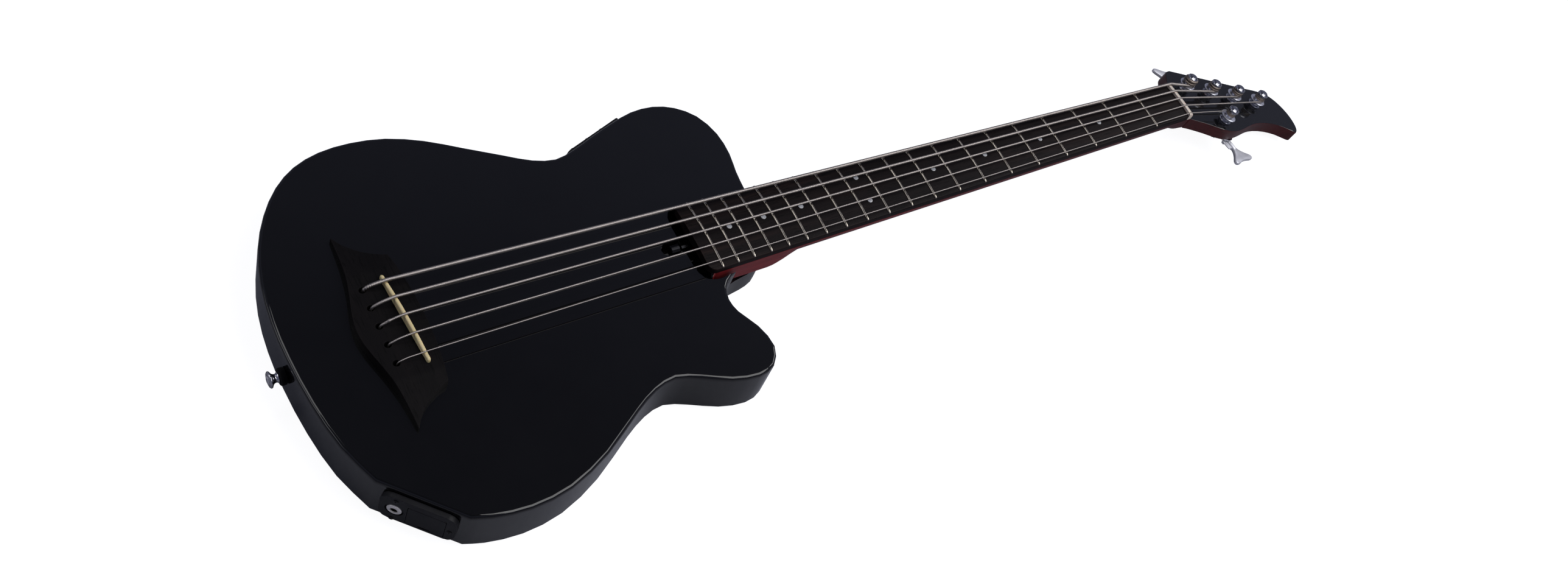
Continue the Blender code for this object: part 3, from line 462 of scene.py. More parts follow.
def moulded(name, colour, rough=0.42, grain=1400.0, depth=0.012):
    """Moulded plastic: fine spark texture, rubbed lighter on its edges."""
    look = Look(name, Specular_IOR_Level=0.22)
    spark = look.noise(grain, 2.0, 0.6)
    cloud = look.noise(45.0, 3.0)
    worn = tuple(min(2.2 * value + 0.012, 1.0) for value in colour)
    body = look.ramp(cloud, (0.3, shade(colour, 0.8)), (0.7, colour))
    look.put(Base_Color=look.mix(look.sum(look.edge_wear(0.5), 0.6, "MULTIPLY"), body, worn),
             Roughness=look.span(cloud, rough - 0.06, rough + 0.08, 0.3, 0.7))
    look.bump(spark, depth, 0.5)
    return look.material


def bone_look(name, pale, deep, line):
    look = Look(name, Subsurface_Weight=0.12, Subsurface_Scale=0.002)
    cloud = look.noise(160.0, 3.0, 0.5, (1, 0.25, 1))
    fine = look.noise(1500.0, 2.0, 0.5, (1, 0.08, 1))
    colour = look.ramp(cloud, (0.3, deep), (0.7, pale))
    look.put(Base_Color=look.mix(look.span(fine, 0.0, 0.10, 0.55, 0.75), colour, line),
             Roughness=look.span(cloud, 0.26, 0.4, 0.3, 0.7))
    look.bump(fine, 0.006, 0.3)
    return look.material


def winding(name, colour, dark, pitch, depth=0.07):
    """Round-wound string: a wrap of fine wire, with painted shade darkening the grooves between turns."""
    look = Look(name, Metallic=1.0)
    turns = look.bands(2 * math.pi / (pitch * MM) / 20.0, (1.0, 0.15, 0.1))
    cloud = look.noise(60.0, 3.0)
    base = look.ramp(cloud, (0.3, shade(colour, 0.82)), (0.7, colour))
    # painted shade: the grooves between turns are mixed towards the dark colour
    look.put(Base_Color=look.mix(look.span(turns, 0.75, 0.0, 0.0, 0.45), base, dark),
             Roughness=look.span(cloud, 0.36, 0.5, 0.3, 0.7))
    look.bump(turns, depth, 0.8)
    return look.material


def felt_look():
    look = Look("felt_black", Roughness=0.95, Sheen_Weight=0.06, Specular_IOR_Level=0.1)
    fuzz = look.noise(2600.0, 4.0, 0.7)
    look.put(Base_Color=look.ramp(fuzz, (0.3, (0.001, 0.001, 0.0012)), (0.75, (0.007, 0.007, 0.008))))
    look.bump(fuzz, 0.12, 0.9)
    return look.material


def pearl_look():
    look = Look("pearl_dot", Coat_Weight=0.6, Coat_Roughness=0.08)
    cloud = look.noise(420.0, 3.0, 0.6, distort=1.2)
    look.put(Base_Color=look.ramp(cloud, (0.25, (0.26, 0.27, 0.30)), (0.5, (0.44, 0.45, 0.47)),
                                  (0.75, (0.62, 0.60, 0.58))),
             Roughness=look.span(cloud, 0.18, 0.34))
    look.bump(cloud, 0.01, 0.3)
    return look.material


GLOSS_BLACK = lacquer("gloss_black")
ROSEWOOD = wood("dark_rosewood", (0.0040, 0.0028, 0.0031), (0.0078, 0.0052, 0.0054), (0.022, 0.0118, 0.0102),
                (0.42, 0.58), 0.06, 0.585, 0.09, wear=(0.035, 0.022, 0.018)).material
BRIDGE_WOOD = wood("bridge_rosewood", (0.0022, 0.0018, 0.0021), (0.0038, 0.0031, 0.0035),
                   (0.0062, 0.0047, 0.0050), (0.46, 0.6), 0.05, 0.6, 0.09, grain_axis=1,
                   wear=(0.009, 0.0075, 0.0072)).material
FRET_METAL = metal("fret_nickel", (0.42, 0.375, 0.315), 0.16, 0.10, 1, (0.50, 0.455, 0.39))
CHROME = metal("chrome", (0.60, 0.60, 0.64), 0.06, 0.02, 2)
# painted shade: a darkened copy of the chrome, for the post caps
CAP_CHROME_PAINTED_SHADE = metal("cap_chrome_painted_shade", (0.30, 0.30, 0.33), 0.10, 0.02, 2)
# painted reflection: a brighter, bluer copy of the chrome, for the dishes under the posts
DISH_CHROME_PAINTED_REFLECTION = metal("dish_chrome_painted_reflection", (0.80, 0.81, 0.90), 0.24, 0.04, 2, plating=0.85)
JACK_NICKEL = metal("jack_nickel", (0.88, 0.84, 0.81), 0.28, 0.06, 2, plating=0.35)
SATIN = metal("satin_chrome", (0.71, 0.71, 0.76), 0.36, 0.08, 0, plating=0.55)
BLACKENED = metal("blackened_steel", (0.014, 0.014, 0.016), 0.22, 0.05, 0)
BONE = bone_look("saddle_bone", (0.78, 0.65, 0.36), (0.69, 0.56, 0.29), (0.49, 0.38, 0.19))
NUT_BONE = bone_look("nut_bone", (0.68, 0.60, 0.52), (0.59, 0.51, 0.44), (0.40, 0.33, 0.27))
PEARL = pearl_look()
WOUND = winding("wound_steel", (0.54, 0.49, 0.455), (0.17, 0.152, 0.14), 0.48)
SILK = winding("post_winding", (0.34, 0.285, 0.245), (0.07, 0.056, 0.047), 0.5)
PLASTIC = moulded("black_plastic", (0.0075, 0.0075, 0.0095))
SCREW_BLACK = moulded("screw_black", (0.002, 0.002, 0.0022), 0.3)
KNOB_PLASTIC = moulded("knob_plastic", (0.012, 0.012, 0.013), 0.5)
CELL = moulded("battery_case", (0.045, 0.045, 0.055), 0.3, 300.0, 0.004)
MARK = moulded("pointer_white", (0.55, 0.55, 0.53), 0.5)
DARK_FILL = moulded("slot_filler", (0.006, 0.005, 0.005), 0.6)
FELT = felt_look()
BRAID = metal("piezo_braid", (0.50, 0.40, 0.22), 0.4, 0.2, 0)


# ---- shared geometry
def fret_x(number):
    return SCALE_LENGTH * 2 ** (-number / 12)


def half_width(x):
    taper = (HALF_WIDTH_20 - HALF_WIDTH_NUT) / (SCALE_LENGTH - fret_x(FRET_COUNT))
    return HALF_WIDTH_NUT + taper * (SCALE_LENGTH - x)


def crown(y, half):
    return (half * half - y * y) / (2 * BOARD_RADIUS)


def string_nut_y(index):
    return (2 - index) * NUT_PITCH


def string_saddle_y(index):
    return (2 - index) * SADDLE_PITCH


def saddle_x(y):
    return SADDLE_X + SADDLE_SLANT * y


def saddle_string_z(y):
    return BOARD_EDGE_Z + crown(y, 2 * SADDLE_PITCH + 1) + SADDLE_ACTION


def nut_string_z(y):
    return BOARD_EDGE_Z + crown(y, HALF_WIDTH_NUT) + NUT_ACTION


HEAD_UP = Vector(JOINTS["post_1_turn"]["axis"]).normalized()


def tuner_place(number):
    """X along the key shaft, Z out of the headstock face, at the post's foot on the face."""
    post, key = JOINTS[f"post_{number}_turn"], JOINTS[f"key_{number}_turn"]
    return axis_place(post["pos_m"], HEAD_UP, key["axis"])


# ---- body
def make_body():
    """Back and sides as one shell, and the top let down onto it so that no seam shows."""
    copy_of("body", "body_shell", GLOSS_BLACK, "gloss_black_wood", angle=32)
    top = welded("soundboard")
    low, same = min(v.co.z for v in top.verts), 0.05 * MM
    for v in top.verts:
        if v.co.z < low + same:
            v.co.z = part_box("body")[1].z
    weigh_normals(piece("body_top", top, GLOSS_BLACK, 32, "gloss_black_wood", "soundboard"))


# ---- neck, fingerboard, frets
def neck_look():
    """Red mahogany with painted shade darkening it towards the head, the headstock's face in gloss black, and
    the neck's end in the pocket painted black as shade.
    """
    look = wood("neck_mahogany", (0.115, 0.0095, 0.0108), (0.218, 0.0170, 0.0200), (0.300, 0.031, 0.033),
                (0.36, 0.48), 0.03, 0.62, 0.24)
    bare = look.shader.inputs["Base Color"].links[0].from_socket
    # painted shade: the colour is multiplied down along X towards the head, to 0.23 of itself
    head_end_shade = look.span(look.node("SeparateXYZ", Vector=look.spot).outputs["X"], 1.0, 0.23, 0.42, 0.86)
    look.put(Base_Color=look.mix(1.0, bare, head_end_shade, "MULTIPLY"), Coat_Weight=0.10,
             Coat_Roughness=look.span(look.noise(30.0), 0.06, 0.16))
    haze = look.noise(70.0)
    black = look.node("BsdfPrincipled", Base_Color=PITCH_BLACK, Coat_Weight=1.0, Specular_IOR_Level=0.05,
                      Roughness=look.span(haze, 0.3, 0.45), Coat_Roughness=look.span(haze, 0.015, 0.06))
    # black cover: the gloss black headstock face, and painted shade on the neck's end in the pocket
    facing = look.node("Attribute")
    facing.attribute_name = "head_face_and_end_shade"
    look.cover(facing.outputs["Fac"], black)
    return look.material


def make_neck():
    """The neck as it is in the CAD, its headstock face marked for gloss black and its end in the body painted
    black as shade of the pocket.
    """
    mesh = finished("neck_wood", welded("neck", clean=False), 35)
    face = mesh.attributes.new("head_face_and_end_shade", "FLOAT", "FACE")
    end_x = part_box("neck")[0].x + 3.5 * MM
    values = []
    for polygon in mesh.polygons:
        on_face = polygon.normal.dot(HEAD_UP) > 0.9 and polygon.center.x > (HEAD_X - 0.5) * MM
        # painted shade: faces at the neck's end, deep in the pocket, are painted black
        end_shade = polygon.center.x < end_x and polygon.normal.x < -0.12
        values.append(1.0 if on_face or end_shade else 0.0)
    face.data.foreach_set("value", values)
    weigh_normals(show("neck_wood", mesh, neck_look(), "red_mahogany", "neck"))


def end_half(x):
    """Half width of the fingerboard, rounded at its body end."""
    return half_width(x) - BOARD_CORNER * (1 - rounded(x - BOARD_LOW.x, BOARD_CORNER))


def make_fingerboard():
    """Crowned board with rolled edges; its stations crowd where the body end is rounded."""
    shape = bmesh.new()
    ease = [BOARD_LOW.x + BOARD_CORNER * (1 - math.cos(math.pi / 2 * k / 10)) for k in range(11)]
    far = [ease[-1] + (SCALE_LENGTH - ease[-1]) * k / 30 for k in range(1, 31)]
    rings = []
    for x in ease + far:
        half, full = end_half(x), half_width(x)
        low = BOARD_EDGE_Z - BOARD_THICK
        ring = [(x, half, low), (x, -half, low)]
        rim = BOARD_EDGE_Z + crown(half, full)
        side = [(-half + BOARD_ROLL * share, rim - BOARD_ROLL * drop) for share, drop in quarter(5)]
        ring += [(x, y, z) for y, z in side]
        inner = half - BOARD_ROLL
        for k in range(1, 24):
            y = -inner + 2 * inner * k / 24
            ring.append((x, y, BOARD_EDGE_Z + crown(y, full) - crown(inner, half) * 0.35))
        ring += [(x, -y, z) for y, z in side[::-1]]
        rings.append(ring)
    skin(shape, rings)
    piece("fingerboard_wood", shape, ROSEWOOD, 40, "dark_rosewood", "fingerboard")


def make_frets():
    """Domed wires with rounded ends, and the filled slot under each at the board's sides."""
    wires, slots = bmesh.new(), bmesh.new()
    for number in range(1, FRET_COUNT + 1):
        x, half = fret_x(number), half_width(fret_x(number))
        reach, ends = half - 0.35, [0.0, 0.25, 0.7, 1.4, FRET_ROUND]
        rings = []
        stations = [-reach + e for e in ends]
        stations += [-reach + FRET_ROUND + 2 * (reach - FRET_ROUND) * k / 14 for k in range(1, 14)]
        stations += [reach - e for e in ends[::-1]]
        for y in stations:
            size = rounded(reach - abs(y), FRET_ROUND) * 0.72 + 0.28
            wide = 1.28 * (0.55 + 0.45 * size)
            base = BOARD_EDGE_Z + crown(y, half) - 0.15
            ring = [(x - wide, y, base)]
            for k in range(7):
                a = math.pi * (k + 0.5) / 7
                ring.append((x - wide * math.cos(a), y, base + 0.2 + 1.2 * size * math.sin(a)))
            ring.append((x + wide, y, base))
            rings.append(ring[::-1])
        skin(wires, rings)
        for sign in (-1, 1):
            y0, y1 = sign * (half - 1.6), sign * (half + 0.04)
            skin(slots, [[(x - 0.3, y0, z), (x + 0.3, y0, z), (x + 0.3, y1, z), (x - 0.3, y1, z)]
                         for z in (BOARD_EDGE_Z - 3.0, BOARD_EDGE_Z - 0.7)])
    names = [f"fret_{number:02d}" for number in range(1, FRET_COUNT + 1)]
    piece("fret_wires", wires, FRET_METAL, 50, "fret_nickel", *names)
    piece("fret_slots", slots, DARK_FILL, 35, "dark_rosewood")


def make_dots():
    """Pearl dots in the board's top and small ones in its side, midway between frets."""
    dots = bmesh.new()
    single, double = (3, 5, 7, 9, 15, 17, 19), 12
    middle = {n: (fret_x(n) + fret_x(n - 1)) / 2 for n in single + (double,)}
    for x, y in [(middle[n], 0.0) for n in single] + [(middle[double], 13.5), (middle[double], -13.5)]:
        half = half_width(x)
        z = BOARD_EDGE_Z + crown(y, half) - crown(half - BOARD_ROLL, half) * 0.35
        tilt = Vector((0, y / BOARD_RADIUS, 1))
        place = axis_place(Vector((x, y, z)) * MM, tilt, (1, 0, 0))
        turned(dots, [(2.35, -0.6), (2.5, 0.02), (2.3, 0.10), (1.2, 0.13)], place, 28)
    for n in single + (double,):
        for shift in ((-3.5, 3.5) if n == double else (0.0,)):
            x = middle[n] + shift
            side = Vector((x, half_width(x) - 0.5, BOARD_EDGE_Z - 2.6)) * MM
            place = axis_place(side, (0, 1, 0), (1, 0, 0))
            turned(dots, [(1.0, 0.0), (1.0, 0.53), (0.8, 0.58)], place, 16)
    piece("pearl_dots", dots, PEARL, 35, None)


# ---- nut, saddle, bridge
def make_nut():
    """Bone nut with a round slot for each string and rounded ends."""
    half, low, count = HALF_WIDTH_NUT - 0.1, BOARD_EDGE_Z - BOARD_THICK, 150
    front, back = NUT_FRONT, NUT_FRONT + NUT_LENGTH
    rings = []
    for k in range(count + 1):
        y = half * (-1 + 2 * k / count)
        top = nut_string_z(y) + 1.35
        for index, radius in enumerate(STRING_R):
            off = abs(y - string_nut_y(index))
            if off < radius + 0.25:
                floor = nut_string_z(string_nut_y(index)) - 0.05
                flare = 3 * max(off - radius, 0.0)
                top = min(top, floor + radius - math.sqrt(max(radius**2 - off**2, 0.0)) + flare)
        top -= 1.2 * (1 - rounded(half - abs(y), 1.6))
        rings.append([(front, y, low), (back, y, low), (back, y, top - 2.6), (back - 0.6, y, top - 1.6),
                      (back - 1.6, y, top - 0.85), (front + 2.2, y, top - 0.2), (front + 0.6, y, top),
                      (front + 0.1, y, top - 0.25), (front, y, top - 0.7)])
    shape = bmesh.new()
    skin(shape, rings)
    piece("nut_bone", shape, NUT_BONE, 40, "bone", "nut")


def saddle_place():
    return shifted(Matrix.Identity(4), SADDLE_X, 0, 0) @ Matrix.Rotation(-math.atan(SADDLE_SLANT), 4, "Z")


def make_saddle():
    """Crowned bone saddle with rounded ends and a shallow seat under each string."""
    shape = bmesh.new()
    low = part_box("saddle")[0].z * 1000
    half_x, half_y, count = SADDLE_WIDTH / 2, SADDLE_HALF_LENGTH, 160
    rings = []
    for k in range(count + 1):
        y = half_y * math.sin(math.pi / 2 * (-1 + 2 * k / count))
        wide = half_x * (0.94 * rounded(half_y - abs(y), half_x) + 0.06)
        top = saddle_string_z(min(abs(y), 37.0)) + 0.1 - 1.4 * (1 - min((half_y - abs(y)) / 3.0, 1.0)) ** 2
        for index, radius in enumerate(STRING_R):
            off = abs(y - string_saddle_y(index))
            if off < radius + 0.6:
                seat = saddle_string_z(string_saddle_y(index)) - 0.12
                top = min(top, seat + max(off - radius * 0.6, 0.0) * 0.4)
        ring = [(-wide, y, low), (wide, y, low)]
        for j in range(9):
            a = math.pi * j / 8
            ring.append((wide * math.cos(a), y, top - 1.5 + 1.5 * math.sin(a)))
        rings.append(ring)
    skin(shape, rings, saddle_place())
    piece("saddle_bone", shape, BONE, 45, "bone", "saddle")


def bridge_front_x(y):
    """The front edge: a shallow arc to the crease, then a hollow curve out to the wing's tip."""
    if abs(y) <= BRIDGE_CREASE_Y:
        return 10.5 - 6.0 * (y / BRIDGE_CREASE_Y) ** 2
    t = (-7.5 + math.sqrt(7.5**2 + 14.5 * (abs(y) - BRIDGE_CREASE_Y))) / 14.5
    return 4.5 * (1 - t) ** 2 - 40.0 * t * (1 - t) - 31.2 * t * t


def bridge_back_x(y):
    """The back edge: nearly straight, with a swell behind the strings."""
    return -33.0 + 1.1 * (y / 92.0) ** 2 - 12.4 * math.exp(-((y / 40.0) ** 2))


def make_bridge():
    """The winged bridge: flat middle, a soft crease where each wing starts to thin, rounded edges."""
    blank = bmesh.new()
    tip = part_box("bridge")[1].y * 1000
    half = [*range(0, 49, 4), *range(50, 61, 2), 61.5, 62.5, 63.2, 64, 65, 66.5, *range(68, 89, 2), 89.5,
            90.8, 91.6, tip]
    rings = []
    for y in [-v for v in half[:0:-1]] + half:
        front, back = bridge_front_x(y), bridge_back_x(y)
        wing = max(abs(y) - BRIDGE_WING_Y, 0) / 42.0
        top = BRIDGE_TOP_Z - (BRIDGE_TOP_Z - BRIDGE_TIP_Z) * wing
        low, edge = BODY_TOP_Z + 0.05, min(0.45, (front - back) / 3)
        ring = [(back, y, low), (front, y, low)]
        ring += [(front - edge * share, y, top - edge * drop) for share, drop in quarter(4)]
        ring += [(back + edge * share, y, top - edge * drop) for share, drop in quarter(4)[::-1]]
        rings.append(ring)
    skin(blank, rings)
    slot = bmesh.new()
    round_box(slot, SADDLE_WIDTH + 0.3, 2 * SADDLE_HALF_LENGTH + 0.4, 52.0, 70, 1.7, saddle_place(), steps=6)
    tools = [slot]
    for index in range(5):
        tools.append(bmesh.new())
        centre = (ANCHOR_X, string_saddle_y(index))
        skin(tools[-1], [circle(ANCHOR_HOLE_R + flare, 28, z, centre) for flare, z in (
            (0.0, 49.5), (0.0, BRIDGE_TOP_Z - 0.7), (0.25, BRIDGE_TOP_Z - 0.25), (0.8, BRIDGE_TOP_Z + 0.15),
            (0.8, 66))])
    plug = bmesh.new()
    turned(plug, [(2.9, BRIDGE_TOP_Z - 0.6), (2.9, BRIDGE_TOP_Z + 0.02), (2.7, BRIDGE_TOP_Z + 0.05)],
           shifted(Matrix.Identity(4), -19.5, -41.0, 0), 36)
    piece("bridge_plug", plug, BRIDGE_WOOD, 35, "bridge_rosewood")
    weigh_normals(show("bridge_wood", cut("bridge_wood", blank, tools), BRIDGE_WOOD, "bridge_rosewood",
                       "bridge"))


# ---- strings
def string_side(index):
    """The side of its post on which a string arrives: -1 for the bass side's four, 1 for the last."""
    return -1 if index < 4 else 1


def make_strings():
    """Each string from its hole in the bridge, over the saddle and the nut, to its post."""
    for index, radius in enumerate(STRING_R):
        saddle_y, nut_y = string_saddle_y(index), string_nut_y(index)
        x_saddle = saddle_x(saddle_y)
        z_saddle = saddle_string_z(saddle_y) + radius
        z_nut = nut_string_z(nut_y) + radius
        foot = tuner_place(index + 1).translation / MM
        tangent = (foot + Vector((0, string_side(index) * (WRAP_R + radius), 0)) + HEAD_ALONG * 3
                   + HEAD_UP * POST_WAIST_Z)
        rise = z_saddle - BRIDGE_TOP_Z
        bend = smooth_path([
            (ANCHOR_X + 0.3, saddle_y, 50.6), (ANCHOR_X + 0.5, saddle_y, BRIDGE_TOP_Z - 2.4),
            (ANCHOR_X + 1.7, saddle_y, BRIDGE_TOP_Z + radius * 0.4 + 0.2),
            (ANCHOR_X + 4.2, saddle_y, BRIDGE_TOP_Z + radius + 1.2),
            (ANCHOR_X + 9.0, saddle_y, BRIDGE_TOP_Z + radius + 1.1 + (rise - radius) * 0.38),
            (x_saddle - 3.0, saddle_y, z_saddle - 0.55), (x_saddle, saddle_y, z_saddle)], 0.45)
        start, end = Vector((x_saddle, saddle_y, z_saddle)), Vector((SCALE_LENGTH, nut_y, z_nut))
        shares = [0.002, 0.004] + [k / 60 for k in range(1, 60)] + [0.998]
        leave = Vector((SCALE_LENGTH + NUT_LENGTH, nut_y, z_nut - 0.85))
        over = smooth_path([end, (SCALE_LENGTH + 2.6, nut_y, z_nut - 0.1), leave,
                            leave.lerp(tangent, 0.25), tangent], 1.2)
        points = bend + [start + (end - start) * share for share in shares] + over
        radii = []
        for point in points:
            size = radius
            if index == 2:   # the end of its winding stands up a little
                size += 0.34 * math.exp(-((point.x - ANCHOR_X - 8.0) / 1.1) ** 2)
            radii.append(size * (1.0 - 0.12 * max(ANCHOR_X + 5.0 - point.x, 0.0) / 5.0))
        shape = bmesh.new()
        coil = None
        if index == 0:       # the coarse wrap by the thickest string's ball
            def coil(i, a, points=points):
                run = points[i].x - ANCHOR_X
                return 0.17 * math.sin(run * 2 * math.pi / 1.5 + a) if -1.0 < run < 7.0 else 0.0
        tube(shape, points, radii, 14 if index < 3 else 10, coil)
        piece(f"string_{index + 1}_wire", shape, WOUND, 60, "wound_steel", f"string_{index + 1}")


def make_windings():
    """Turns of string round each post, climbing from where the string arrives."""
    for index, radius in enumerate(STRING_R):
        place = tuner_place(index + 1)
        inverse = place.inverted().to_3x3()
        turns = (2.1, 2.4, 2.7, 3.2, 3.6)[index]
        pitch, wrap_r = 2 * radius + 0.12, WRAP_R + radius
        along = inverse @ HEAD_ALONG
        across = inverse @ Vector((0, string_side(index), 0))
        start = math.atan2(across.y, across.x)
        sense = 1 if (across.x * along.y - across.y * along.x) > 0 else -1
        path = []
        count = int(turns * 36)
        for k in range(count + 1):
            a = start + sense * 2 * math.pi * turns * k / count
            climb = max(k / 36 - 0.25, 0.0) * pitch
            path.append((wrap_r * math.cos(a), wrap_r * math.sin(a), POST_WAIST_Z + climb))
        x, y, z = path[-1]
        path += [(x * 0.75, y * 0.75, z + 0.3), (x * 0.4, y * 0.4, z + 0.2)]
        shape = bmesh.new()
        points = [place @ (Vector(p) * MM) / MM for p in path]
        tube(shape, points, [radius] * len(points), 12 if index < 3 else 8)
        piece(f"winding_{index + 1}", shape, SILK, 60, "wound_steel", body=f"post_{index + 1}")


# ---- tuners
def make_posts():
    """Post with its gear, the dished washer on the headstock's face and the domed cap."""
    for number in range(1, 6):
        body, place = f"post_{number}", tuner_place(number)
        copy_of(f"tuner_post_{number}", f"post_{number}_gear", CHROME, "chrome", body, 0.25)
        dish = bmesh.new()
        turned(dish, [(5.4, 2.9), (5.9, 3.2), (6.2, 3.9), (6.9, 4.9), (7.9, 5.8), (8.7, 6.4), (9.0, 6.9),
                      (8.9, 7.3), (8.4, 7.5), (6.4, 7.55), (4.5, 7.6)], place, 56)
        # the dish in the chrome copy brightened and tinted blue as painted reflection
        piece(f"post_{number}_dish", dish, DISH_CHROME_PAINTED_REFLECTION, 50, "chrome", body=body)
        cap = bmesh.new()
        turned(cap, [(radius, POST_TOP + z) for radius, z in (
            (4.3, -5.4), (5.6, -4.9), (6.0, -4.2), (6.1, -3.0), (5.9, -2.2), (5.0, -1.1), (4.2, -0.35),
            (3.7, 0.0), (3.3, 0.05), (2.9, -0.15), (0.2, -0.3))], place, 48)
        # the cap in the chrome copy darkened as painted shade
        piece(f"post_{number}_cap", cap, CAP_CHROME_PAINTED_SHADE, 50, "chrome", body=body)


def button_outline():
    """Plan of the fish-tail button: a waist at the shaft, two fat lobes and a hollow end."""
    half = smooth_path([(-3.0, 3.2, 0), (0.0, 4.9, 0), (3.0, 7.6, 0), (5.6, 10.6, 0), (8.0, 13.9, 0),
                        (10.0, 16.3, 0), (12.2, 17.4, 0), (14.2, 16.9, 0), (15.4, 15.0, 0), (15.6, 12.0, 0),
                        (14.9, 7.6, 0), (14.2, 3.6, 0), (14.0, 0, 0)], 1.0)
    half = [(p.x + KEY_REACH, p.y) for p in half]
    return [(x, -y) for x, y in half] + half[-2::-1]


def inset(outline, distance):
    """An anticlockwise outline moved inwards along its corner normals."""
    moved = []
    for i, (x, y) in enumerate(outline):
        before, after = outline[i - 1], outline[(i + 1) % len(outline)]
        ahead = Vector((after[0] - before[0], after[1] - before[1])).normalized()
        moved.append((x - ahead.y * distance, y + ahead.x * distance))
    return moved


def make_keys():
    """Worm, shaft and fish-tail button of each tuner, along the key's own axis."""
    outline, sides, steps = button_outline(), 28, 120

    def ring_at(x, radius):
        return [(x, y, z) for y, z, _ in circle(radius, sides)]

    for number in range(1, 6):
        joint = JOINTS[f"key_{number}_turn"]
        place = axis_place(joint["pos_m"], HEAD_UP, joint["axis"])
        shape = bmesh.new()
        rings = [ring_at(-10.0, 1.0), ring_at(-9.8, 1.6), ring_at(-9.4, 2.0), ring_at(-4.8, 2.0)]
        for k in range(steps + 1):
            x = -4.5 + 16.9 * k / steps
            phase = 2 * math.pi * x / 2.2
            rings.append(ring_at(x, lambda a: 2.15 + 0.85 * (0.5 + 0.5 * math.sin(phase - a)) ** 0.8))
        rings += [ring_at(x, radius) for x, radius in (
            (12.8, 2.0), (18.0, 2.0), (18.2, 2.9), (18.7, 3.2), (22.0, 3.2), (26.0, 3.0), (28.5, 2.7),
            (29.5, 2.2))]
        skin(shape, rings, place)
        under = [(1.15, -1.9), (0.55, -1.75), (0.15, -1.3), (0.0, -0.6)]
        skin(shape, [[(x, y, z) for x, y in inset(outline, shrink)]
                     for shrink, z in under + [(shrink, -z) for shrink, z in under[::-1]]], place)
        piece(f"key_{number}_turn_button", shape, SATIN, 40, "chrome", f"tuner_key_{number}",
              body=f"key_{number}")


def cross_screw(shape, place, radius, height):
    """A domed screw head with a cross recess."""
    count, arm = 48, 0.14
    rings = []
    for share in (1.0, 0.99, 0.9, 0.76, 0.62, 0.56, 0.5, 0.38, 0.26, 0.18, 0.02):
        ring = []
        for k in range(count):
            a = 2 * math.pi * k / count
            x, y = share * math.cos(a), share * math.sin(a)
            top = height * (0.45 + 0.55 * math.sqrt(1 - share * share)) if share < 1 else 0.0
            if share < 0.57 and min(abs(x), abs(y)) < arm:
                top -= 0.5 * height
            ring.append((radius * x, radius * y, top))
        rings.append(ring)
    skin(shape, rings, place)


def make_housings():
    """Tuner housings, each with five plate screws and the plate's tongue beside the shaft."""
    for number in range(1, 6):
        place = tuner_place(number)
        copy_of(f"tuner_housing_{number}", f"housing_{number}", CHROME, "chrome", bevel=0.3)
        shape = bmesh.new()
        hand = string_side(number - 1)
        back = shifted(place, 0, 0, -PLATE_BACK) @ Matrix.Rotation(math.pi, 4, "X")
        for x, y in ((-6.2, -9.2), (6.4, -13.2), (14.2, -13.2), (-6.0, 8.0), (5.6, 8.0)):
            cross_screw(shape, shifted(back, x, hand * y, 0), 1.9, 1.1)
        tongue = [(14.0, 0.4), (25.6, 0.4), (26.2, 0.7), (26.5, 1.3), (26.5, 5.6), (26.2, 6.2), (25.6, 6.5),
                  (14.0, 6.5)]
        skin(shape, [[(x, hand * y, z) for x, y in inset(tongue, shrink)]
                     for shrink, z in ((0.3, -19.5), (0.0, -19.25), (0.0, -18.25), (0.3, -18.0))], place)
        piece(f"housing_{number}_trim", shape, SATIN, 40, "chrome")


# ---- electrics and fittings
def facet_place():
    """X along the facet, Y up, Z out of it, at the plate's near end; read from the door's joint."""
    hinge = JOINTS["door_swing"]
    along = -Vector(hinge["axis"]).normalized()
    up = Vector((0, 0, 1))
    out = along.cross(up)
    origin = Vector(hinge["pos_m"]) - out * HINGE_PROUD * MM - along * HINGE_ALONG * MM
    origin.z = RIM_MID_Z * MM
    return axis_place(origin, out, along)


def make_jack_plate():
    """Jack plate, jack with its bore's black liner, battery door and three screws (x, height)."""
    place = facet_place()
    copy_of("jack_plate", "jack_plate_shell", PLASTIC, "black_plastic", bevel=0.5, segments=3)
    copy_of("output_jack", "output_jack_body", JACK_NICKEL, "chrome", bevel=0.35, segments=3)
    copy_of("battery_door", "battery_door_panel", PLASTIC, "black_plastic", "door", 0.35)
    low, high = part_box("output_jack")
    middle = place.inverted() @ ((low + high) / 2)
    bore = bmesh.new()
    turned(bore, [(3.1, -14.0), (3.1, 4.6), (2.85, 4.8), (2.8, 4.4), (2.8, -12.0), (0.3, -12.2)],
           place @ Matrix.Translation((middle.x, middle.y, 0)), 32)
    piece("output_jack_bore", bore, SCREW_BLACK, 40, "black_plastic")
    screws = bmesh.new()
    for x, z in ((19.5, 38.0), (18.5, 9.6), (64.0, 22.5)):
        cross_screw(screws, shifted(place, x, z - RIM_MID_Z, 4.9), 2.1, 0.8)
    piece("jack_plate_screws", screws, SCREW_BLACK, 40, "black_plastic")


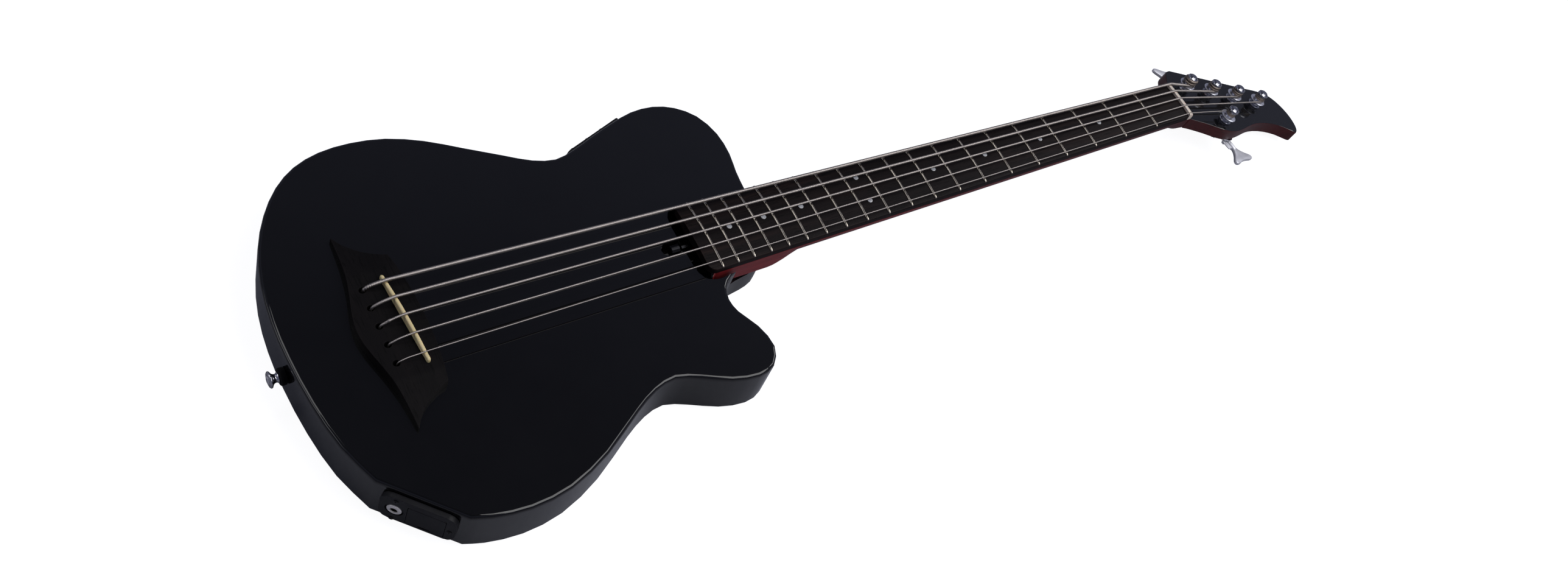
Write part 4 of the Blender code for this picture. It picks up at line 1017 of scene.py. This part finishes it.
def make_preamp():
    """Preamp panel with three ribbed knobs, their pointers and four corner screws."""
    copy_of("preamp", "preamp_panel", PLASTIC, "black_plastic", bevel=0.5, segments=3)
    for number in range(1, 4):
        joint, body = JOINTS[f"control_{number}_turn"], f"control_{number}"
        place = axis_place(joint["pos_m"], joint["axis"], (0, 0, 1))
        shape = bmesh.new()
        skin(shape, [circle(lambda a: radius + rib * math.cos(24 * a), 96, z) for radius, z, rib in (
            (6.3, 0.0, 0.0), (6.6, 0.4, 0.0), (6.6, 0.8, 0.22), (6.35, 4.3, 0.22), (6.1, 4.9, 0.0),
            (5.6, 5.2, 0.0), (4.6, 5.2, 0.0), (4.3, 4.9, 0.0), (0.4, 4.75, 0.0))], place)
        piece(f"knob_{number}_cap", shape, KNOB_PLASTIC, 40, "black_plastic", f"knob_{number}", body=body)
        mark = bmesh.new()
        round_box(mark, 3.4, 0.7, 4.6, 5.32, 0.3, place, centre=(4.3, 0.0), edge=0.1)
        piece(f"knob_{number}_mark", mark, MARK, 35, "black_plastic", body=body)
    screws = bmesh.new()
    middle = JOINTS["control_2_turn"]
    place = axis_place(middle["pos_m"], middle["axis"], (0, 0, 1))
    for x in (-14.5, 14.5):
        for y in (-28.5, 28.5):
            cross_screw(screws, shifted(place, x, y, -0.35), 1.9, 0.7)
    piece("preamp_screws", screws, SCREW_BLACK, 40, "black_plastic")


def make_strap_button():
    """Strap button, its cross-head screw and the felt washer, from the tail outwards."""
    low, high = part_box("strap_button")
    tail = Vector((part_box("felt_washer")[1].x, (low.y + high.y) / 2, (low.z + high.z) / 2))
    place = axis_place(tail, (-1, 0, 0), (0, 0, 1))
    knob = bmesh.new()
    turned(knob, [(1.4, -9.6), (2.2, -8.6), (2.2, 5.2), (4.4, 5.3), (4.5, 5.7), (3.7, 6.6), (3.5, 7.6),
                  (3.8, 8.8), (4.6, 9.9), (5.9, 10.7), (6.8, 11.3), (7.0, 11.9), (6.8, 12.5), (6.0, 13.1),
                  (5.0, 13.4), (4.0, 13.3)], place, 56)
    head = bmesh.new()
    turned(head, [(3.8, 12.9), (3.7, 13.5), (3.2, 13.9), (2.2, 14.15), (0.5, 14.25)], place, 40)
    arms = []
    for turn in (20, 110):
        arms.append(bmesh.new())
        round_box(arms[-1], 3.6, 0.9, 12.6, 16.0, 0.3, place @ Matrix.Rotation(math.radians(turn), 4, "Z"))
    piece("strap_button_knob", knob, CHROME, 45, "chrome", "strap_button")
    show("strap_button_screw", cut("strap_button_screw", head, arms), SATIN, "chrome")
    washer = bmesh.new()
    turned(washer, [(2.6, 0.1), (7.0, 0.1), (7.3, 0.5), (7.35, 2.4), (7.3, 4.2), (6.8, 4.75), (2.6, 4.8)],
           place, 72, loop=True)
    noise.seed_set(1)   # the felt's fuzz comes out the same each run
    for v in washer.verts:
        v.co += noise.noise_vector(v.co * 900.0) * 0.10 * MM
    piece("felt_washer_disc", washer, FELT, 60, "black_felt", "felt_washer")


def carry_over():
    """CAD nodes that stay as they are, in finished materials."""
    for node, surface in (("truss_rod", BLACKENED), ("truss_rod_nut", BLACKENED), ("piezo_strip", BRAID),
                          ("battery", CELL)):
        NODES[node].data.materials.clear()
        NODES[node].data.materials.append(surface)


# ---- studio
def make_floor():
    """White paper that lights nothing, and that cannot be seen from below."""
    z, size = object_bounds()[0].z - 2 * MM, 7.0
    mesh = bpy.data.meshes.new("studio_floor")
    mesh.from_pydata([(-size, -size, z), (size, -size, z), (size, size, z), (-size, size, z)], [],
                     [(0, 1, 2, 3)])
    look = Look("studio_paper", Roughness=0.9, Specular_IOR_Level=0.1, Emission_Color=(1.0, 1.0, 1.0))
    tooth = look.noise(220.0, 3.0)
    look.put(Base_Color=look.ramp(tooth, (0.3, (0.265, 0.27, 0.305)), (0.7, (0.285, 0.29, 0.325))),
             Emission_Strength=look.span(look.node("LightPath").outputs["Is Camera Ray"], 0.0, 0.93))
    look.bump(tooth, 0.02, 0.2)
    look.cover(look.node("NewGeometry").outputs["Backfacing"], look.node("BsdfTransparent"))
    mesh.materials.append(look.material)
    linked("studio_floor", mesh)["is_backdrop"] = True


def make_world():
    """A cool sky by height: stops of (place, brightness) from straight down to straight up."""
    world = bpy.data.worlds.new("studio_world")
    bpy.context.scene.world = world
    world.use_nodes = True
    tree = world.node_tree
    spot = tree.nodes.new("ShaderNodeTexCoord").outputs["Generated"]
    split = tree.nodes.new("ShaderNodeSeparateXYZ")
    tree.links.new(spot, split.inputs[0])
    band = tree.nodes.new("ShaderNodeValToRGB")
    stops = [(0.0, 0.10), (0.25, 0.13), (0.5, 0.16), (0.68, 0.22), (0.77, 0.155), (0.85, 0.080),
             (1.0, 0.050)]
    while len(band.color_ramp.elements) < len(stops):
        band.color_ramp.elements.new(0.5)
    for element, (place, value) in zip(band.color_ramp.elements, stops):
        element.position = place
        element.color = (value * 0.89, value * 0.94, value * 1.30, 1.0)
    tree.links.new(split.outputs["Z"], band.inputs["Fac"])
    tree.links.new(band.outputs["Color"], tree.nodes["Background"].inputs["Color"])


def softbox(name, centre, target, size_x, size_y, power):
    """A rectangular area light in metres and watts, facing its target."""
    light = bpy.data.lights.new(name, "AREA")
    light.shape = "RECTANGLE"
    light.size, light.size_y, light.energy = size_x, size_y, power
    linked(name, light).matrix_world = axis_place(centre, Vector(centre) - Vector(target), (1, 0, 0.01))


def make_studio():
    scene = bpy.context.scene
    scene.view_settings.view_transform = "Standard"
    make_floor()
    make_world()
    softbox("key_softbox", (1.25, -1.0, 2.2), (0.7, 0.0, 0.0), 1.8, 2.6, 46.0)
    softbox("left_strip", (-2.0, 0.9, 1.0), (0.1, 0.0, 0.0), 0.8, 1.6, 4.5)
    softbox("fret_strip", (-0.5, 1.05, 2.2), (0.4, 0.0, 0.0), 1.6, 0.5, 5.0)
    softbox("far_softbox", (3.1, 0.1, 2.1), (0.9, 0.0, 0.0), 1.0, 1.4, 18.0)

    camera = bpy.data.cameras.new("photo_camera")
    camera.sensor_width = 36.0
    camera.lens = camera.sensor_width * FOCAL_SHARE
    camera.clip_start = 0.01
    right, back = Vector(CAMERA_RIGHT).normalized(), -Vector(CAMERA_AHEAD).normalized()
    view = Matrix((right, back.cross(right), back)).transposed().to_4x4()
    view.translation = CAMERA_SPOT
    scene.camera = linked("photo_camera", camera)
    scene.camera.matrix_world = view


for make in (make_body, make_neck, make_fingerboard, make_frets, make_dots, make_nut, make_saddle,
             make_bridge, make_strings, make_windings, make_posts, make_keys, make_housings,
             make_jack_plate, make_preamp, make_strap_button, carry_over, make_studio):
    make()
